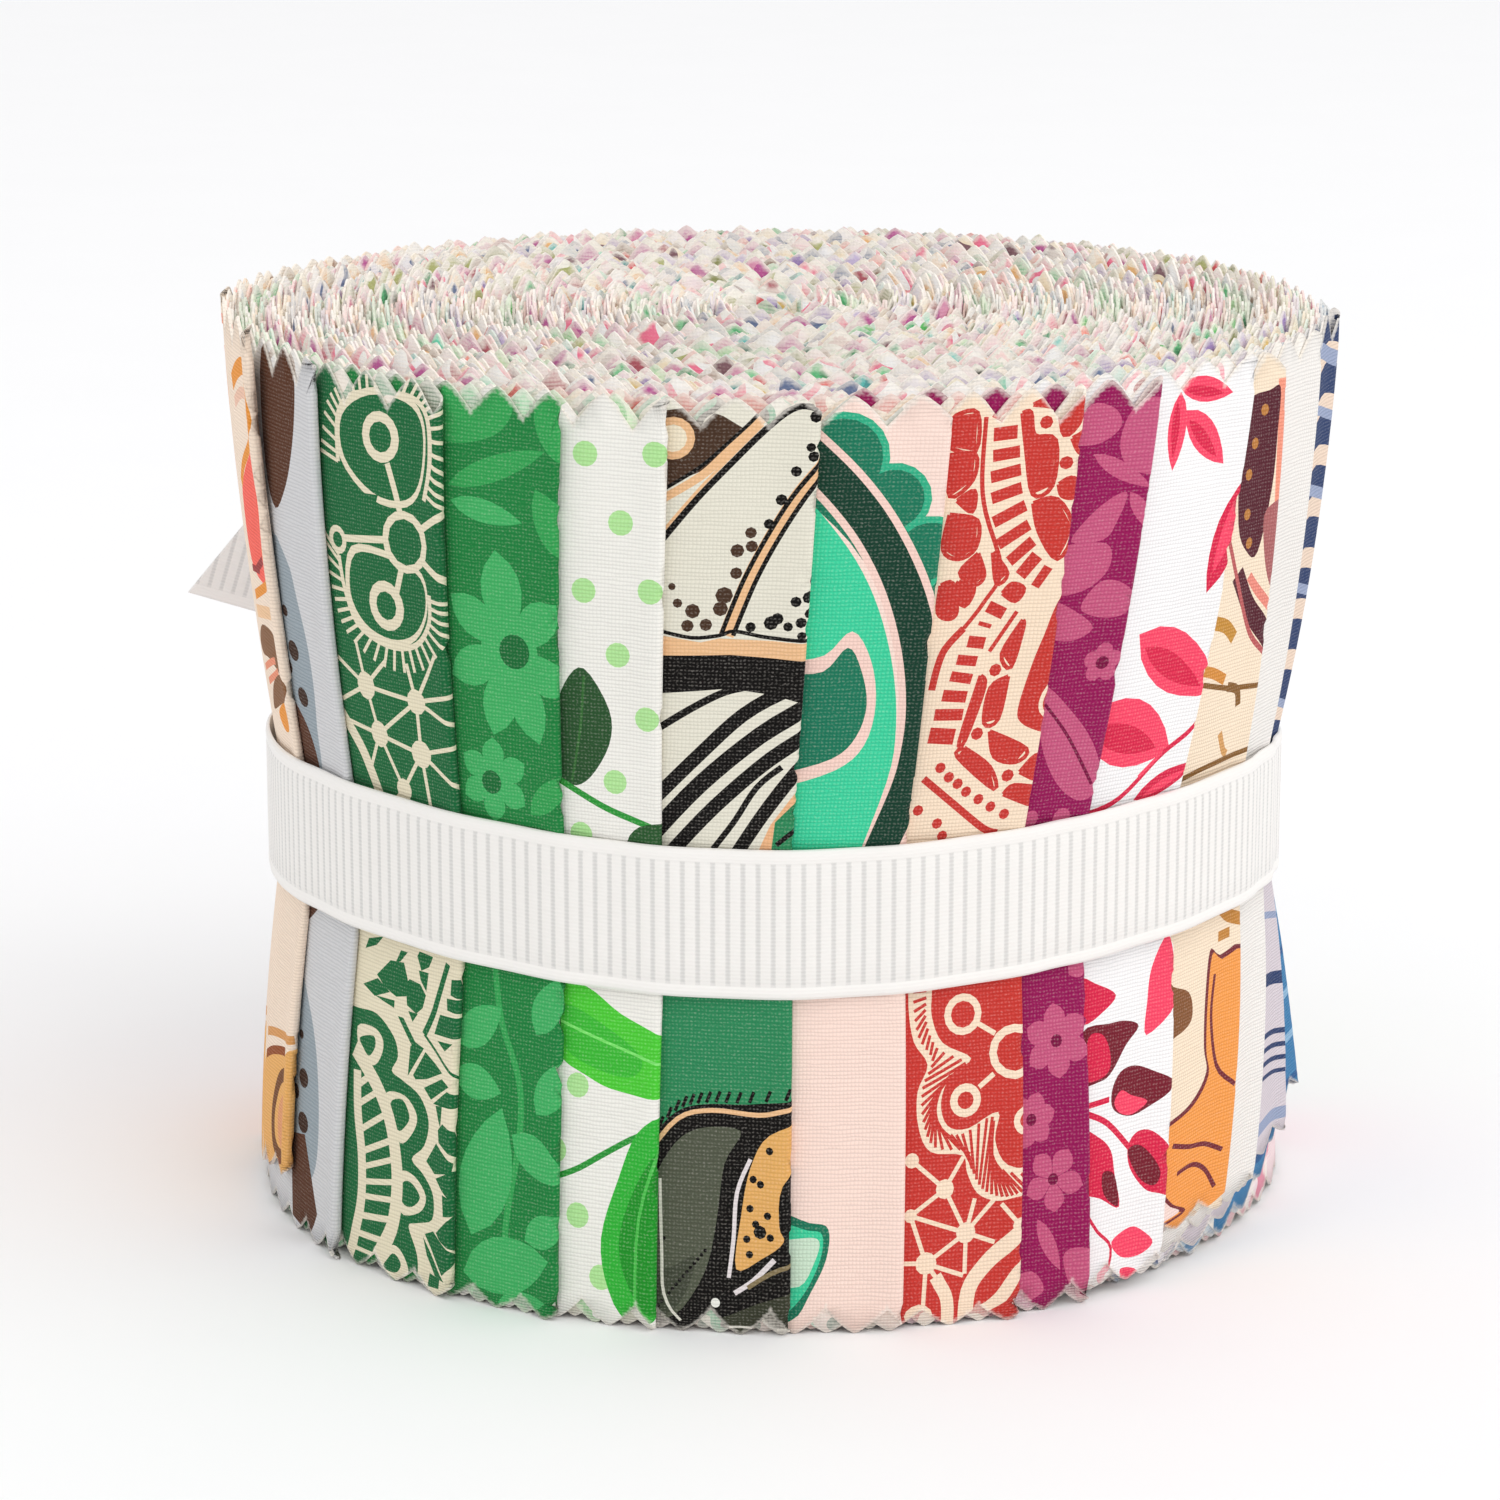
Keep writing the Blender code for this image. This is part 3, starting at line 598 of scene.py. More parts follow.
def print_cut_lace(ground, red):
    """Cut-work lace: cells between thin bars, ladders, rings and stars."""
    art = Artwork(ground)
    # Cells above the ribbon, at the left, the right and the lower middle
    for cell in (
        ((-9, 61.2), (-8.7, 62), (-7.3, 62.1), (-7.2, 59.6), (-9, 60)),
        ((-9, 59.4), (-7.2, 59.4), (-7.2, 57.7), (-8.6, 56.7)),
        ((-8.1, 56.4), (-7, 57), (-7, 55.6)),
        ((-8.5, 55.5), (-6.6, 55), (-6.5, 53.2), (-7.6, 52.5), (-8.7, 53.2)),
        ((-6.3, 52.8), (-5.7, 51.3), (-6.3, 50.7), (-7.4, 51.6)),
        ((-8.6, 50.8), (-7.8, 50.9), (-7.3, 49), (-7.8, 48.5), (-8.6, 49)),
        ((-7.4, 51), (-6.3, 50.5), (-6.8, 49.3), (-7.7, 50.3)),
        ((-4.3, 61.9), (-3.7, 61.9), (-3.3, 60.4), (-1.9, 60), (-1.8, 57), (-3, 56.5), (-3.8, 59.5)),
        ((-2.9, 55.9), (-1.4, 56.1), (-0.1, 54), (-0.9, 52.1), (-2.3, 54)),
        ((-3.6, 62.4), (-1.4, 63.2), (-0.3, 62.4), (-0.5, 61.2), (-1.4, 60.3), (-2, 62)),
        ((-0.9, 60.1), (0.4, 60.6), (0.4, 59), (-0.4, 59.2)),
        ((-1.4, 57.1), (-0.7, 57.5), (0.1, 57), (-0.2, 56.2), (-1.1, 56.3)),
        ((-5.3, 52.8), (-4.1, 51.3), (-4.8, 50.7)),
        ((-4.3, 50), (-3.7, 50.6), (-2.8, 50.2), (-3.3, 49.4)),
        ((-2.6, 48.1), (-2.5, 47.5), (-3, 44.9), (-3.8, 45.9)),
        ((-3.1, 44.3), (-3.4, 41.4), (-4.4, 41.2), (-4.3, 43.6)),
        ((-5.1, 44.5), (-4.7, 43.7), (-5.6, 40.1), (-6, 40.1)),
        ((-3.9, 40.6), (-1.1, 39.2), (-1.7, 38.3), (-3.3, 38.8)),
        ((-5.6, 39.6), (-3.5, 38.1), (-2.9, 36.5), (-6, 39)),
        ((-1.3, 37.6), (-0.4, 38.7), (0.5, 38.3), (0.4, 36.9)),
        ((-2.2, 36.1), (-1.5, 36.7), (0.5, 36.2), (0.4, 35.1)),
    ):
        art.patch(red, *cell)
        art.line(red, 0.3, *cell, cell[0])
    art.discs(red, 0.44, (-2.6, 61.2), (-1.1, 58.5), (-4.1, 44.8), (-4.8, 40.5), (-2.1, 37.4))
    # The rail and the rungs at its right
    art.line(red, 0.3, (-6.7, 61.8), (-6.6, 58), (-6.1, 55.5), (-4.6, 51.6), (-5.5, 49.5), (-6.7, 47.8))
    art.line(red, 0.5, (-6.7, 47.8), (-7.8, 46.5), (-8.2, 45.2), (-8.4, 43.7))
    for width, start, end in (
        (0.5, (-6.2, 62), (-5.5, 61.6)),
        (0.9, (-6.1, 60.6), (-4.5, 60.7)),
        (0.8, (-6, 59.2), (-4.2, 59.4)),
        (0.8, (-6, 57.8), (-4, 58.2)),
        (0.8, (-5.8, 56.4), (-3.8, 57)),
        (0.8, (-5.5, 54.8), (-3.4, 55.8)),
        (0.8, (-5, 53.3), (-3, 54.5)),
        (0.8, (-4.1, 52.1), (-2.6, 53.4)),
        (0.9, (-3.2, 51.1), (-2.2, 52.4)),
        (0.6, (-2.1, 50.3), (-1.4, 51.6)),
        (0.8, (-5.2, 49.2), (-4, 48.6)),
        (0.3, (-5.7, 48.1), (-4.8, 47.8)),
        (0.8, (-6.3, 46.9), (-5.1, 46.7)),
        (0.7, (-6.9, 45.7), (-5.5, 45.5)),
        (0.7, (-7.2, 44.6), (-5.7, 44.3)),
        (0.8, (-7.6, 43.3), (-5.9, 43.1)),
        (0.8, (-8, 42), (-6, 41.9)),
        (1.1, (-8.2, 40.6), (-6.4, 40.4)),
        (0.3, (-3.1, 48.7), (-4.7, 46.1)),
    ):
        art.line(red, width, start, end)
    side = (
        (0.7, 50.8), (-0.5, 49.2), (-1.1, 47), (-1.6, 45), (-2.1, 42), (-1.7, 41), (-0.5, 40.4),
        (0.8, 40),
    )
    art.patch(red, *curve(side, False))
    art.line(ground, 0.3, (0.6, 44.6), (-0.5, 43), (-0.5, 41.8), (0.6, 41))
    # A fan of dots over the ribbon
    fan = ((-7.1, 38.3), (-6.4, 37.6), (-5.7, 37.1), (-5, 36.5), (-4, 35.9), (-3, 35.3), (-1.9, 34.7))
    art.discs(red, 0.38, *fan, (-8.3, 35.4), (-6.8, 34.4), (-6.3, 33.5))
    art.line(red, 0.5, (-8.2, 37.6), (-5.8, 35.7), (-3.3, 33.8), (-2.2, 33.4))
    # Below the ribbon: a band of ticks round lobes of solid red with rings
    art.patch(red, (-9.6, 25), (1.2, 25), (1.2, -1), (-9.6, -1))
    lobes = (
        (-6.9, 24.6), (-6.9, 22.8), (-6.9, 21.2), (-6.1, 19.4), (-4, 18.2), (-5.5, 17.2), (-6.2, 15.4),
        (-5.7, 13.8), (-4.2, 13.5), (-2, 14.4), (-2.2, 12.6), (-1.3, 10.9), (1.2, 10.5),
    )
    low = (
        (-8.5, 24.6), (-8.6, 22), (-8.2, 19.6), (-7.2, 18), (-7.9, 16.2), (-7.8, 13.9), (-6.9, 12.2),
        (-4.6, 11.8), (-4.2, 10.6), (-3.4, 9.2), (-2, 8.6), (-0.6, 8.8), (1.2, 8.8),
    )
    art.patch(ground, *curve(low, False), (1.2, 25), (-8.5, 25))
    inner = curve(lobes, False) + [-0.4, -0.3]
    outer = curve(low, False) + [0.35, 0.25]
    art.patch(ground, *outer, *inner[::-1])
    for i in range(1, len(inner)):
        art.line(red, 0.22, inner[i], outer[i])
    art.patch(red, *curve(lobes, False), (1.2, 25), (-6.9, 25))
    for x, z, radius, hole in (
        (-4.6, 21.2, 1.4, 0.9), (-4.4, 15.4, 1.15, 0.6), (-0.8, 18.4, 1.85, 1.3), (0, 13.7, 0.95, 0.5),
    ):
        art.ring(ground, red, x, z, radius, hole)
    art.line(ground, 0.35, (-3.5, 20.5), (-2.2, 19.7))
    art.line(ground, 0.35, (-3.4, 16.2), (-2.3, 17))
    # A net of knots under it
    knots = (
        (-8.2, 11.7, 0.5), (-5.8, 9.7, 0.65), (-8.2, 8.1, 0.45), (-4.2, 6.7, 0.7), (-7, 4.9, 0.75),
        (-0.4, 6.9, 0.5), (-7.4, 1.2, 1.0),
    )
    for x, z, radius in knots:
        art.disc(ground, x, z, radius)
    for i, ends in (
        (1, ((-8.2, 11.7), (-8.2, 8.1), (-4.5, 11.7), (-4.2, 6.7))),
        (3, ((-3.6, 8.9), (-2.2, 8.7), (-2.1, 5.9), (-7, 4.9), (-4.2, 4), (-8.2, 8.1))),
        (4, ((-8.2, 8.1), (-8.9, 5), (-6, 3.6), (-7.1, 1.8), (-4.3, 3.9))),
        (5, ((-1.7, 8.4),)),
    ):
        for end in ends:
            art.line(ground, 0.3, knots[i][:2], end)
    art.line(ground, 1.1, (-4, 0), (-3.9, 2.8), (-2.7, 4.5), (-0.9, 6), (0.8, 7.4))
    art.line(ground, 0.9, (-5.3, 0), (-5.4, 2.3), (-6, 3.5), (-6.3, 4))
    art.line(ground, 0.9, (-2.9, 1.2), (-1.6, 2.2), (-0.4, 3.9), (0.8, 4.5))
    return art


def print_shadow_petals(base, light, line):
    """Flat petals and small flowers, lighter than the ground."""
    art = Artwork(base)
    art.blob(light, (-6.4, 60), (-5.2, 62), (-3.4, 61.6), (-2.8, 60.4), (-4.2, 59.4), (-6.2, 59.4))
    art.blob(light, (-2.4, 61), (-1.2, 62.2), (0.6, 61.4), (0.8, 57.4), (-1.6, 57.4), (-2.7, 59))
    art.leaf(light, (-4.6, 58.7), (-0.2, 56.2), 1.1)
    art.leaf(light, (-1.6, 56), (0.4, 53.2), 1.0)
    art.blob(light, (-5.4, 53), (-3.8, 55), (-1.8, 56), (-2.2, 54), (-3, 52.9))
    art.blob(light, (-6.4, 52.4), (-4, 52.8), (-2.4, 52.4), (-2.3, 50.8), (-3.8, 49.6), (-6.2, 49.6))
    art.blob(light, (-3.9, 48.4), (-2.8, 50), (-1.4, 50), (-0.2, 49), (-0.6, 47.8), (-2.2, 47.6))
    art.blob(light, (-6.2, 49), (-3.9, 48), (-2.7, 46.9), (-4.2, 46.2), (-6.2, 46.8))
    for i in range(5):
        turn = math.tau * i / 5 + 0.3
        art.disc(light, -1.6 + 0.8 * math.cos(turn), 44.5 + 0.8 * math.sin(turn), 0.58, sides=10)
    art.disc(line, -1.6, 44.5, 0.45, sides=10)
    art.blob(
        light, (-6, 43.4), (-3.2, 41.3), (-1.2, 39), (0.2, 36), (-1.2, 34.9), (-3.4, 36.4),
        (-5.2, 39.4),
    )
    art.line(line, 0.22, (-5.4, 42), (-3, 39.4), (-0.6, 36))
    art.disc(light, -2.4, 33.8, 0.7)
    art.disc(light, -4.9, 34, 0.6)
    art.flower(light, -2.6, 18.5, 6, 2.6, 0.66, turn=0.6)
    art.disc(line, -2.6, 18.5, 0.45)
    art.flower(light, -4.7, 13.4, 6, 1.9, 0.75, turn=0.2)
    art.flower(light, -3, 9.3, 5, 2.2, 0.7, turn=1.0)
    art.disc(line, -4.7, 13.4, 0.4)
    art.disc(line, -3, 9.3, 0.4)
    art.leaf(light, (-4.2, 6.8), (-2.4, 3.2), 1.1)
    art.blob(light, (-2.2, 4), (-1, 4.6), (0.8, 3.6), (0.8, 0.6), (-1.2, 1.2))
    art.blob(light, (-6.4, 2.8), (-4.6, 3.4), (-3.6, 2), (-5, 1), (-6.4, 1))
    art.flower(light, 0.2, 24, 5, 2.0, 0.75)
    return art


def print_sprigs(ground, red, bright, dark):
    """Sprigs of glossy leaves in two reds on white."""
    art = Artwork(ground)

    def shaded_leaf(first, second, base, tip, width):
        art.leaf(first, base, tip, width)
        base, tip = np.array(base, float), np.array(tip, float)
        across = np.array([tip[1] - base[1], base[0] - tip[0]]) / np.linalg.norm(tip - base)
        start = base * 0.88 + tip * 0.12 + across * width * 0.12
        end = base * 0.16 + tip * 0.84 + across * width * 0.06
        art.leaf(second, start, end, width * 0.42)

    for first, second, base, tip, width in (
        (bright, red, (-7.3, 62.1), (-2.2, 61.1), 1.7),
        (bright, red, (-7.1, 61.7), (-7, 56.5), 1.6),
        (bright, red, (-6.4, 60.4), (-2.2, 56.4), 2.1),
        (red, bright, (0.4, 55.6), (-1.8, 47.7), 2.6),
        (bright, red, (-7.6, 45.7), (0.8, 40.6), 3.9),
        (bright, red, (-11, 40.4), (-2.3, 37.2), 4.6),
        (red, bright, (-5, 34), (0.8, 35.8), 1.5),
    ):
        shaded_leaf(first, second, base, tip, width)
    for colour, leaf in (
        (red, ((-9.5, 22.2), (-8, 21.7), (-6, 20.6), (-7.2, 19.6), (-8.9, 19), (-10.2, 20))),
        (
            dark,
            (
                (-9, 18.5), (-6.5, 18.7), (-4.8, 18.6), (-3.6, 18), (-4.8, 16.9), (-6, 15.3),
                (-7, 14.8), (-9, 15),
            ),
        ),
        (red, ((-8.4, 18), (-7.2, 18.1), (-6.4, 17), (-6.2, 15.6), (-7, 15), (-8.6, 15.2))),
        (
            dark,
            (
                (-5.9, 13.9), (-5.2, 15.1), (-3.8, 15.3), (-2, 14.6), (-0.1, 13.5), (-1.5, 12.5),
                (-3.8, 11.9), (-5.6, 12.6),
            ),
        ),
        (bright, ((-5.6, 13.1), (-5, 13.8), (-4, 13.3), (-2.4, 12.6), (-3.8, 12), (-5, 12.3))),
        (bright, ((-0.8, 23.9), (-0.1, 21.5), (-0.1, 19), (-2.8, 17.2), (-2.8, 19.6), (-2.4, 21.9))),
        (red, ((-8.5, 11.6), (-6.8, 11), (-5.6, 9.9), (-5.1, 8.3), (-4.4, 5.9), (-6.2, 6.8), (-8.5, 8))),
        (dark, ((-6.2, 8.5), (-5.1, 8.2), (-4.5, 6), (-5.9, 7))),
        (
            red,
            (
                (-4, 9.9), (-3.2, 10.7), (-1.8, 10.5), (-0.2, 9.1), (0.8, 7.6), (0.6, 5.8), (-1, 6.2),
                (-2.2, 6.7), (-3.7, 8.4),
            ),
        ),
        (dark, ((-4, 9.5), (-3, 9.8), (-1.8, 8.9), (-1, 7.6), (-1.5, 6.8), (-2.8, 7.6))),
        (bright, ((-4.8, 3.6), (-3.2, 4.3), (-2, 3.8), (-1.2, 2.9), (-2.2, 2.2), (-3.8, 2.4))),
        (bright, ((-3.7, 1.3), (-2.4, 1), (-1.8, -0.2), (-3.1, -0.5))),
        (red, ((-5.5, 0.7), (-5, 1.1), (-4.8, 0.4), (-5.2, -0.2))),
    ):
        art.blob(colour, *leaf)
    art.line(red, 0.4, (-11, 33.8), (-9, 33.7), (-6.4, 34.4), (-3.4, 36.6), (-1, 38), (0.8, 39.6))
    art.line(bright, 0.3, (-3, 37), (-5, 35.6))
    art.line(red, 0.4, (-9.5, 13.4), (-8.2, 13.3), (-6.1, 13.4))
    art.line(red, 0.4, (-9.5, 13.4), (-8.1, 12.8), (-6.1, 11.8), (-3.9, 9.8))
    art.line(red, 0.22, (-8.5, 7.3), (-7.5, 6.2), (-6.2, 4.6), (-4.8, 3.2), (-5, 0.9))
    return art


def print_botanical(ground, dark, warm, line):
    """A flower in ochre and maroon, drawn with contour lines."""
    art = Artwork(ground)
    art.patch("f89a80", (-1.2, 61.6), (1.4, 61.6), (1.4, 51.6), (-0.9, 52))
    art.blob(
        dark, (-4.3, 60.5), (-2, 60.9), (-1, 61), (-1.1, 58), (-1.3, 54), (-2.2, 49.6), (-3.6, 49.8),
        (-5, 52), (-5.2, 58),
    )
    art.discs("c08040", 0.42, (-2.4, 59.6), (-3.4, 57.4), (-4, 55.3), (-3.9, 52.5), (-3.4, 50.4))
    art.blob("b06868", (-1.6, 52.6), (1.4, 52.6), (1.4, 46.4), (-0.6, 47), (-1.6, 49.8))
    art.line(dark, 1.5, (-4.6, 48.4), (-2.9, 46), (-1.5, 44.5), (0, 43), (1.2, 41.8))
    art.line(warm, 0.7, (-3, 48), (-1, 46), (1.2, 44.2))
    art.line("c06060", 0.4, (-6, 51), (-4.6, 48), (-3, 45), (-1.5, 43), (0.8, 41.3))
    art.line("c9903c", 1.0, (-7, 45.3), (-5.5, 44.8), (-4.3, 43.8))
    art.line("d89040", 0.8, (-7.8, 42), (-6.5, 41.6), (-5, 40.9))
    art.line("8a6030", 0.4, (-7.8, 41), (-4.5, 40.2), (-2.5, 39.9), (0.8, 39.6))
    art.line("8a6030", 0.7, (-4.5, 40.3), (-3, 39.8), (-2.6, 38.6))
    art.line("d8a060", 0.6, (-4.8, 37), (-4, 35.6), (-3.4, 35.2))
    art.line("8a6030", 0.4, (-9.8, 34.4), (-6, 34.8), (0.8, 35))
    # Below the ribbon: a pod with contour lines, and a half leaf beside it
    art.line("c98a40", 1.0, (-5.8, 24.4), (-3.5, 24.2), (-2, 23.3), (0.6, 22.4))
    art.line("c98a40", 0.8, (-3.5, 22), (-1.8, 22))
    art.blob(
        "8a5a38", (-10.2, 20.6), (-9.3, 19.7), (-7.3, 18.8), (-6.6, 17.4), (-6.8, 16.3), (-8.3, 15.8),
        (-10.2, 15.9),
    )
    body = (
        (-4.3, 20.8), (-4.6, 17), (-4.3, 13.5), (-3.7, 11.5), (-5.3, 9.8), (-8.1, 9.2), (-12, 8.8),
        (-12, -1), (-5.8, -1.7), (-2.8, 0), (-0.8, 1.6), (0.9, 4), (0.9, 19), (-2.8, 20.1),
    )
    art.blob(line, *((x * 1.03 - 0.25, z * 1.01 + 0.2) for x, z in body))
    art.blob("f8a050", *body)
    for route in (
        ((-7.3, 7.6), (-5.3, 6.8), (-3.3, 6.3), (-1.3, 5.3)),
        ((-6.3, 5.2), (-4.5, 5.2), (-2.8, 4.2), (-1.6, 2.6)),
        ((-3.8, 19.2), (-4, 16), (-2.8, 12), (-0.6, 10)),
        ((-7.8, 4.3), (-6.3, 2.8), (-4.7, 1.8), (-6.3, 1.6), (-7.8, 1.9)),
    ):
        art.line(line, 0.35, *route)
    art.blob("fbe0d8", (-7.9, 4), (-6.5, 2.9), (-5.3, 2.1), (-6.5, 2), (-7.9, 2.3))
    return art


def print_plain(ground):
    return Artwork(ground)


def print_slanted_bars(ground, dark, pale):
    """Petals seen as short slanted bars, on a darker ground above the ribbon."""
    art = Artwork(ground)
    art.patch(dark, (-14, 64), (2.4, 64), (2.4, 33), (-14, 33))
    for i in range(8):
        z = 35 + 3.6 * i
        art.line("f0d8c4", 1.4, (-13, z + 1), (-7, z), (-3, z + 0.7), (2.4, z - 0.6))
    for x, z, width, colour in (
        (-5, 61.2, 1.1, pale), (-3.4, 56.8, 0.7, pale), (-3, 51.2, 0.8, pale), (-3, 44.4, 0.7, pale),
        (-4, 36.6, 0.6, pale), (-3.6, 20.4, 0.6, pale), (-3, 14.6, 1.1, dark), (-3.6, 10.2, 0.45, dark),
        (-4.2, 9.2, 0.4, dark), (-4.6, 8.2, 0.4, dark), (-5, 7.2, 0.35, dark), (-3, 3, 1.0, pale),
    ):  # fmt: skip
        art.line(colour, width, (x - 3.4, z + 0.6), (x, z), (x + 4.4, z - 1.2))
    return art


def print_ripples(ground, dark, pale):
    """Close wavy lines across the cloth."""
    art = Artwork(ground)
    for i in range(17):
        z = 2.5 + 3.8 * i
        colour = pale if i % 3 else dark
        art.line(colour, 0.7, (-14, z + 0.6), (-10, z - 0.5), (-6, z + 0.5), (-2, z - 0.6), (2.4, z + 0.4))
    return art


def print_dots(ground, dot, ring):
    """Offset rows of spots, each with a ring round it."""
    art = Artwork(ground)
    for row in range(14):
        for column in range(4):
            x = -12.2 + 3.9 * column + 1.95 * (row % 2)
            art.disc(ring, x, 2.4 + 4.6 * row, 1.15, sides=12)
            art.disc(dot, x, 2.4 + 4.6 * row, 0.75, sides=10)
    return art


# ---------------------------------------------------------------------------------------------
# The strips
# ---------------------------------------------------------------------------------------------


class Strip:
    """One strip: where its fold lies, its print, and how its loose edge sits.

    lean is how far the fold is shifted sideways at the top and at the foot, rise how far the
    cloth is raised there, and flare how far it stands off the roll there.
    """

    def __init__(self, name, fold, artwork, palette, lean=(1.0, 0.0), rise=(0.0, 0.0), flare=(0.2, 0.1)):
        self.name = "strip_" + name
        self.fold = fold
        self.artwork = artwork
        self.palette = [ink(code) for code in palette.split()]
        self.lean = lean
        self.rise = rise
        self.flare = flare


STRIPS = [
    Strip("coral_petals", -65.5, print_petals("fbe6d2", "ff6a5c", "a03838", "f09a3c"),
          "fbe6d2 ff6a58 fbe6d2 f0a050 8a6040", (2.5, 0.3), (1.5, 3.5), (0.8, 0.0)),
    Strip("grey_leaves", -53.2, print_grey_leaves("d6d6d8", "5a3420", "9aa6ae", "3c2418"),
          "c9cacd 5a3420 c9cacd 9aa6ae", (2.0, 0.0), (0.4, 0.0)),
    Strip("green_lace", -35.6, print_lace("1a6b3c", "ece2c6"),
          "1a6b3c e8d5c0 1a6b3c e8d5c0", (1.7, 0.2)),
    Strip("green_foliage", -22.8, print_foliage("1f8541", "36a556", "44b466", "1a7038"),
          "0f6b31 1f9a49 4cb86a 0f6b31", (1.65, 0.0)),
    Strip("dotted_leaves", -12.0, print_dotted_leaves("f5f3ec", "b4e89c", "4fd13a", "2c5530", "2f9a3c"),
          "f2f0ee f2f0ee 22a52e a8e696 f2f0ee", (1.4, -0.15)),
    Strip("butterfly_wing", 1.7, print_butterfly_wing("e8e4d4", "0c0908", "f0c090", "2f8a5a"),
          "e5dfcb 16120f 2f8a5a e5dfcb e8b066", (1.7, -0.2)),
    Strip("teal_scallops", 13.7, print_scallops("fce0d4", "3fd3a0", "153f2f", "1f7a5c", "f8d4c8", "35b389"),
          "f2d0c4 153f2f f2d0c4 3fd3a0", (2.0, -0.6)),
    Strip("red_lace", 27.0, print_cut_lace("fae2c8", "cc3a33"),
          "c23a33 f6dcc0 c23a33 f6dcc0", (2.2, -1.0)),
    Strip("magenta_petals", 35.1, print_shadow_petals("981458", "c85880", "7e1044"),
          "9a1c68 c8648c 9a1c68", (2.9, -0.7)),
    Strip("crimson_leaves", 49.2, print_sprigs("fbf9f9", "e0284e", "ff4a6a", "7a2030"),
          "f5f2f2 f5f2f2 f0426a f5f2f2 8a1a2a", (3.0, -3.6), (0.4, 0.8)),
    Strip("ochre_botanical", 64.4, print_botanical("fbe6cc", "5a2430", "f09080", "7a2f38"),
          "f8dcb0 e8984a f8dcb0 4a1f2a", (-3.0, -6.3), (0.0, 3.6)),
    Strip("plain_cream", 74.0, print_plain("f3efea"),
          "f3efea f1ebe2 f3efea", (-1.8, -7.5), (0.3, 3.3)),
    Strip("navy_blossom", 81.5, print_slanted_bars("d9cfd6", "2b3f6b", "9aa6c4"),
          "d9cfd6 2b3f6b e8e0e6 2b3f6b", (3.0, -3.0), (0.2, 5.0)),
    Strip("blue_ripples", 94.0, print_ripples("3c7fb0", "2a5f95", "8fb8d8"),
          "3c7fb0 2a5f95 8fb8d8", (0.0, -4.0), (0.0, 6.0), (0.2, 0.8)),
    Strip("pink_lace", 108.5, print_cut_lace("f8e0e2", "d8607c"),
          "f6d8dc d8607c f6d8dc"),
    Strip("mint_dots", 127.0, print_dots("d8f0e2", "3f9f78", "9fdcc0"),
          "d6f0e0 6cc49c d6f0e0 3f9f78"),
    Strip("mustard_scallops", 144.5,
          print_scallops("f4e4bc", "d8a030", "5a3a10", "b87818", "f8ecd0", "d8a030"),
          "f0dca8 8a5a10 f0dca8 d8a030"),
    Strip("teal_foliage", 162.0, print_foliage("0e6b6b", "1f9a92", "5cc0b0", "0a5050"),
          "0e6b6b 5cc0b0 0e6b6b 1f9a92"),
    Strip("lilac_petals", 179.0, print_shadow_petals("6f4f9a", "b09ad0", "553a7e"),
          "6f4f9a b09ad0 6f4f9a"),
    Strip("red_blossom", 196.0, print_sprigs("f5ece8", "c81e28", "e84a48", "5a1016"),
          "f5ece8 c81e28 f5ece8 e84a48"),
    Strip("olive_leaves", 214.0, print_dotted_leaves("f0ecd8", "b8b060", "8a9040", "5a5f22", "6a7030"),
          "f0ecd8 8a9040 f0ecd8 5a5f22"),
    Strip("navy_lace", 228.0, print_lace("1f2a52", "e4dfe8"),
          "1f2a52 d8d4e0 1f2a52 d8d4e0"),
    Strip("rose_dots", 246.0, print_dots("f8e2e4", "d0607a", "eeb0bc"),
          "f4d8dc d0607a f4d8dc eeb0bc"),
    Strip("apricot_botanical", 264.0, print_botanical("fae6d0", "8a5a40", "f0a878", "a8602c"),
          "fae0c0 e8984a fae0c0 8a5a40", (1.0, 0.0), (0.8, 0.0)),
]  # fmt: skip
FOLDS = [strip.fold for strip in STRIPS]


def folds_passed(angle):
    """How many folds lie behind this angle, as a smooth count that grows by all of them each turn."""
    turns = np.floor((angle - FOLDS[0]) / 360.0)
    within = angle - 360.0 * turns
    ends = FOLDS + [FOLDS[0] + 360.0]
    return turns * len(FOLDS) + np.interp(within, ends, np.arange(len(ends)))


def arm_radius(index, angle):
    return ROLL_RADIUS - CLOTH_THICKNESS - LAYER_PITCH * (index - folds_passed(angle))


def winding(index):
    """(distances from the fold, angles there) along the middle of one folded strip."""
    step = 1.5
    angles = FOLDS[index] - np.arange(0.0, 5 * 360.0, step)
    radii = arm_radius(index, angles)
    inside = radii > CORE_RADIUS
    angles, radii = angles[inside], radii[inside]
    steps = math.radians(step) * (radii[1:] + radii[:-1]) / 2
    return np.concatenate([[0.0], np.cumsum(steps)]), angles


def top_share(height):
    return np.clip((height - WAIST_TOP) / (STRIP_WIDTH - WAIST_TOP), 0.0, 1.0)


def foot_share(height):
    return np.clip((WAIST_FOOT - height) / WAIST_FOOT, 0.0, 1.0)


def outline_radius(height):
    """The outside of the bound roll at this height: pulled in by the ribbon, wider at both ends."""
    top = TOP_FLARE * (1 - (1 - top_share(height)) ** FLARE_POWER)
    foot = FOOT_FLARE * (1 - (1 - foot_share(height)) ** FLARE_POWER)
    return WAIST_RADIUS + top + foot


def tooth_places(along, phase):
    """Where along the row of teeth each place is, as the blade wandered a little."""
    return along + 0.35 * np.sin(along / 7.3 + 2 * phase)


def tooth_drop(along, phase):
    """How far the pinked edge lies inside the line of its tips."""
    place = (tooth_places(along, phase) - phase) / TOOTH_PITCH
    part = np.abs(place - np.round(place)) * 2
    return TOOTH_DEPTH * (1 + 0.15 * np.sin(along / 6.1 + 2 * phase)) * part**TOOTH_POWER


